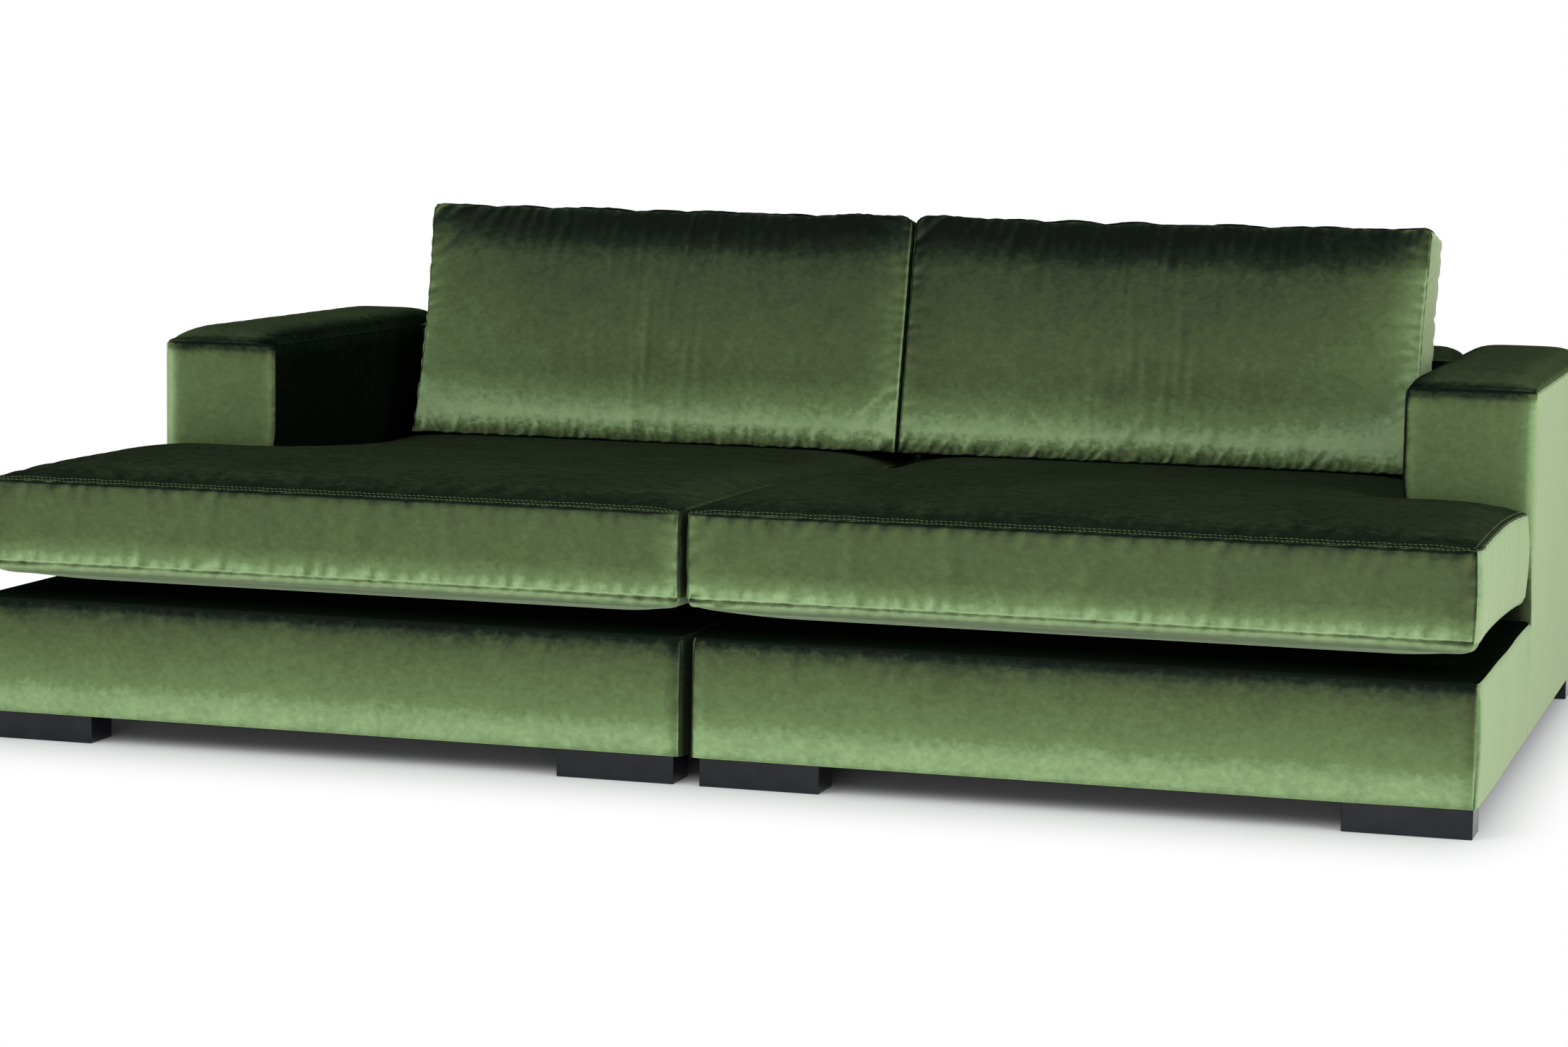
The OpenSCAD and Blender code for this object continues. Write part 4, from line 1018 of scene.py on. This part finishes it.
ARM_PAINTED_EDGE_LIGHT = (
    (FRONT, "start", 0.18, 0.016), (FRONT, "start", -0.60, 0.006), (FRONT, "high", -0.48, 0.013),
    (FRONT, "end", 0.40, 0.020), (TOP, "start", -0.22, 0.032), (TOP, "end", 0.10, 0.045),
    (TOP, "low", -0.28, 0.009),
)
# Painted shade and highlight that a fold's tilt adds to the tone, less of it on the panels that don't
# face the light, and the range that the tone and painted light keep to
FOLD_PAINTED_SHADE, FOLD_PAINTED_SHADE_ASIDE = np.array([0.55, 0, -0.9]), 0.4
PAINTED_LIGHT_LEAST, PAINTED_LIGHT_MOST, PAINTED_LIGHT_MOST_TOWARD = -0.3, 0.86, 1
# Crush of the pile where the painted light is even, how much more of it there is where the painted
# light changes, over a step to both sides, and how much more along edges with painted shade
CRUSH_CALM, CRUSH_RAGGED, PAINTED_LIGHT_STEP, EDGE_RAGGED = 0.18, 0.065, 0.04, 1.3
# Panels where the nap lies away from the light or toward it
AWAY, TOWARD = "velvet_away", "velvet_toward"
SEAT_LAY = {TOP: AWAY, OUTER: TOWARD, BOTTOM: TOWARD}
PILLOW_LAY = {TOP: AWAY, BOTTOM: AWAY, INNER: AWAY, OUTER: TOWARD}
BASE_LAY = {TOP: AWAY, OUTER: TOWARD}
ARM_LAY = {TOP: AWAY, INNER: AWAY, OUTER: TOWARD}
BACK_LAY = {TOP: AWAY, FRONT: AWAY}


def set_tone_and_painted_light(piece, levels, edges, lay):
    """Gives each face corner its tone with painted shade and highlight, from its place on the panel and
    from how far the cloth tilts.
    """
    mesh = piece.data
    vertices, faces = corner_faces(mesh)
    panels = face_panels(mesh)[faces]
    calm = calm_normals(mesh)
    calm /= np.maximum(np.linalg.norm(calm, axis=1), 1e-6)[:, None]
    # Folds get painted shade and highlight by how far they tilt from the even form
    tilt = ((vertex_normals(mesh) - calm) @ FOLD_PAINTED_SHADE)[vertices]
    flat = flat_places(mesh)[vertices]
    low, high = flat.min(0), flat.max(0)
    tone_and_painted_light, crush = np.zeros(len(vertices)), np.full(len(vertices), CRUSH_CALM)
    for panel, pairs in levels.items():
        up = PANEL_AXES[panel][1]
        chosen = panels == panel
        share = (flat[chosen, up] - low[up]) / (high[up] - low[up])
        places, painted_light_levels = np.array(pairs).T
        tone_and_painted_light[chosen] = np.interp(share, places, painted_light_levels)
        above, below = (np.interp(share + way * PAINTED_LIGHT_STEP, places, painted_light_levels) for way in (1, -1))
        crush[chosen] += CRUSH_RAGGED * (np.abs(above - below) / (2 * PAINTED_LIGHT_STEP))
    for panel, edge, amount, reach in edges:
        away = seam_distances(flat, low, high, panel, edge)[1] / reach
        near = (panels == panel) * np.exp(-(away**2))
        tone_and_painted_light += amount * near
        crush += EDGE_RAGGED * max(-amount, 0) * away * near
    tilt *= np.where(np.isin(panels, (FRONT, BOTTOM)), 1, FOLD_PAINTED_SHADE_ASIDE)
    # The inner face of a cover's wall has no folds of its own
    inside = np.sum((vertex_normals(mesh) * calm), axis=1)[vertices] < 0
    most = np.where(np.isin(panels, (OUTER, BOTTOM)), PAINTED_LIGHT_MOST_TOWARD, PAINTED_LIGHT_MOST)
    tone_and_painted_light = np.clip(tone_and_painted_light + tilt * ~inside, PAINTED_LIGHT_LEAST, most)
    # The tone with its painted shade and highlight, and the crush of the pile, go to the materials as
    # attributes
    for name, values in (("tone_and_painted_light", tone_and_painted_light), ("crush", crush)):
        attribute = mesh.attributes.new(name, "FLOAT", "CORNER")
        attribute.data.foreach_set("value", values.astype(np.float32))
    names = ("velvet", AWAY, TOWARD)
    for name in names:
        mesh.materials.append(MATERIALS[name])
    index = np.array([names.index(lay.get(panel, "velvet")) for panel in range(6)])
    mesh.polygons.foreach_set("material_index", index[face_panels(mesh)])


for module, side in SIDES.items():
    for maker, node, body, levels, edges, lay in (
        (base_cover, "base_cover", "module", BASE_TONE_AND_PAINTED_LIGHT, BASE_PAINTED_EDGE_LIGHT, BASE_LAY),
        (arm_cover, "arm_cover", "module", ARM_TONE_AND_PAINTED_LIGHT, ARM_PAINTED_EDGE_LIGHT, ARM_LAY),
        (back_cover, "back_cover", "module", BACK_TONE_AND_PAINTED_LIGHT, (), BACK_LAY),
        (seat_cushion, "seat_cover", "seat_cushion", SEAT_TONE_AND_PAINTED_LIGHT, SEAT_PAINTED_EDGE_LIGHT, SEAT_LAY),
        (back_cushion, "back_cushion_cover", "back_cushion", PILLOW_TONE_AND_PAINTED_LIGHT, PILLOW_PAINTED_EDGE_LIGHT, PILLOW_LAY),
    ):
        piece = maker(module, side)
        set_tone_and_painted_light(piece, levels, edges, lay)
        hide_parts(f"{module}_{node}")
        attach(piece, f"{module}_{body}")
        if maker is seat_cushion:
            thread = seat_stitching(piece)
            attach(thread, f"{module}_{body}")

for name, part in frame["nodes"].items():
    slot = next(row["material_slot"] for row in frame["record"]["subparts"] if row["node"] == name)
    part.data.materials.clear()
    part.data.materials.append(MATERIALS.get(slot, MATERIALS["velvet"]))
    if "_foot_" in name and slot == "gloss_black":
        weld = part.modifiers.new("weld", "WELD")
        weld.merge_threshold = FOOT_WELD
        bevel = part.modifiers.new("bevel", "BEVEL")
        bevel.width, bevel.segments, bevel.limit_method = FOOT_BEVEL, 2, "ANGLE"
        bevel.angle_limit = FOOT_BEVEL_ANGLE


# Stage, camera and light
FLOOR_SIZE, FLOOR_GREY = 60, 0.84
# The floor turns plain white over this distance, which counts more to the left and right, from an
# outline a little inside the base's ends
FLOOR_FADE, FLOOR_FADE_ASIDE, FLOOR_FADE_INSET = 0.42, 2.2, 0.06
WORLD_COLOUR, WORLD_STRENGTH = (0.95, 0.97, 1, 1), 0.62
WHITE_STRENGTH = 1.0

# Lamps: place, aim, size and power
LAMPS = {
    "key": ((-2.5, -4.5, 3.6), (0, 0, 0.4), (3.0, 3.0), 80),
    "fill": ((4.5, -2.0, 2.0), (0.5, 0, 0.4), (2.5, 2.5), 70),
    "low fill": ((0.3, -5.2, 0.45), (0, 0, 0.4), (4.0, 0.7), 75),
}


def plain_view(tree):
    """1 for rays from the camera, a mirror or a pane, and 0 for rays that light the sofa."""
    path = add(tree, "ShaderNodeLightPath")
    seen = path.outputs["Is Camera Ray"]
    for ray in ("Is Glossy Ray", "Is Transmission Ray"):
        seen = math_node(tree, "MAXIMUM", seen, path.outputs[ray])
    return seen


def stage():
    """A white floor that takes shadows near the sofa and is plain white farther off."""
    bpy.ops.object.select_all(action="DESELECT")
    bpy.ops.mesh.primitive_plane_add(size=FLOOR_SIZE)
    floor = bpy.context.object
    floor.name = "floor"
    material, tree, shader = new_material(
        "white floor", Base_Color=(FLOOR_GREY, FLOOR_GREY, FLOOR_GREY, 1), Roughness=0.9,
        Specular_IOR_Level=0.1,
    )
    outline = (BASE_HIGH.x - FLOOR_FADE_INSET, SEAT_HIGH.y, 1)
    past = vector_node(tree, "ABSOLUTE", object_places(tree)).outputs[0]
    for operation, second in (
        ("SUBTRACT", outline), ("MAXIMUM", (0, 0, 0)), ("MULTIPLY", (FLOOR_FADE_ASIDE, 1, 1)),
    ):
        past = vector_node(tree, operation, past, second).outputs[0]
    reach = vector_node(tree, "LENGTH", past).outputs["Value"]
    fade = {"From Min": 0.0, "From Max": FLOOR_FADE}
    far = add(tree, "ShaderNodeMapRange", fade, {"Value": reach}, interpolation_type="SMOOTHSTEP")
    share = math_node(tree, "MULTIPLY", plain_view(tree), far.outputs[0])
    white = add(tree, "ShaderNodeEmission", {"Strength": WHITE_STRENGTH})
    mix = add(
        tree, "ShaderNodeMixShader", {}, {0: share, 1: shader.outputs[0], 2: white.outputs[0]}
    )
    tree.links.new(mix.outputs[0], tree.nodes["Material Output"].inputs["Surface"])
    floor.data.materials.append(material)


def backdrop():
    """A soft pale sky that lights the sofa and shows plain white."""
    world = bpy.data.worlds.new("studio")
    bpy.context.scene.world = world
    world.use_nodes = True
    tree = world.node_tree
    soft = tree.nodes["Background"]
    soft.inputs["Color"].default_value = WORLD_COLOUR
    soft.inputs["Strength"].default_value = WORLD_STRENGTH
    plain = {"Color": (1, 1, 1, 1), "Strength": WHITE_STRENGTH}
    white = add(tree, "ShaderNodeBackground", plain)
    mix = add(
        tree, "ShaderNodeMixShader", {},
        {0: plain_view(tree), 1: soft.outputs[0], 2: white.outputs[0]},
    )
    tree.links.new(mix.outputs[0], tree.nodes["World Output"].inputs["Surface"])


def lamp(name, place_at, aim, size, power):
    data = bpy.data.lights.new(name, "AREA")
    data.shape, data.size, data.size_y, data.energy = "RECTANGLE", size[0], size[1], power
    light = bpy.data.objects.new(name, data)
    light.location = place_at
    light.rotation_mode = "QUATERNION"
    light.rotation_quaternion = (Vector(aim) - Vector(place_at)).to_track_quat("-Z", "Y")
    bpy.context.scene.collection.objects.link(light)


# The photograph's viewpoint: place, turn to the left, tilt and roll, and lens on its sensor
CAMERA_PLACE = (1.8575, -6.458, 1.0963)
CAMERA_TURN, CAMERA_TILT, CAMERA_ROLL = (math.radians(angle) for angle in (16.62, -6.479, 0.922))
CAMERA_LENS, CAMERA_SENSOR = 89.39, 36


def camera():
    data = bpy.data.cameras.new("photo view")
    data.lens, data.sensor_width, data.sensor_fit = CAMERA_LENS, CAMERA_SENSOR, "HORIZONTAL"
    data.clip_start, data.clip_end = 0.1, 200
    view = bpy.data.objects.new("photo view", data)
    ahead = Vector((
        -math.sin(CAMERA_TURN) * math.cos(CAMERA_TILT),
        math.cos(CAMERA_TURN) * math.cos(CAMERA_TILT),
        math.sin(CAMERA_TILT),
    ))
    level = Vector((math.cos(CAMERA_TURN), math.sin(CAMERA_TURN), 0))
    upright = level.cross(ahead)
    right = level * math.cos(CAMERA_ROLL) + upright * math.sin(CAMERA_ROLL)
    up = upright * math.cos(CAMERA_ROLL) - level * math.sin(CAMERA_ROLL)
    turn = Matrix((right, up, -ahead)).transposed().to_4x4()
    view.matrix_world = Matrix.Translation(CAMERA_PLACE) @ turn
    bpy.context.scene.collection.objects.link(view)
    bpy.context.scene.camera = view


stage()
backdrop()
for name, settings in LAMPS.items():
    lamp(name, *settings)
camera()
bpy.context.scene.view_settings.view_transform = "Standard"
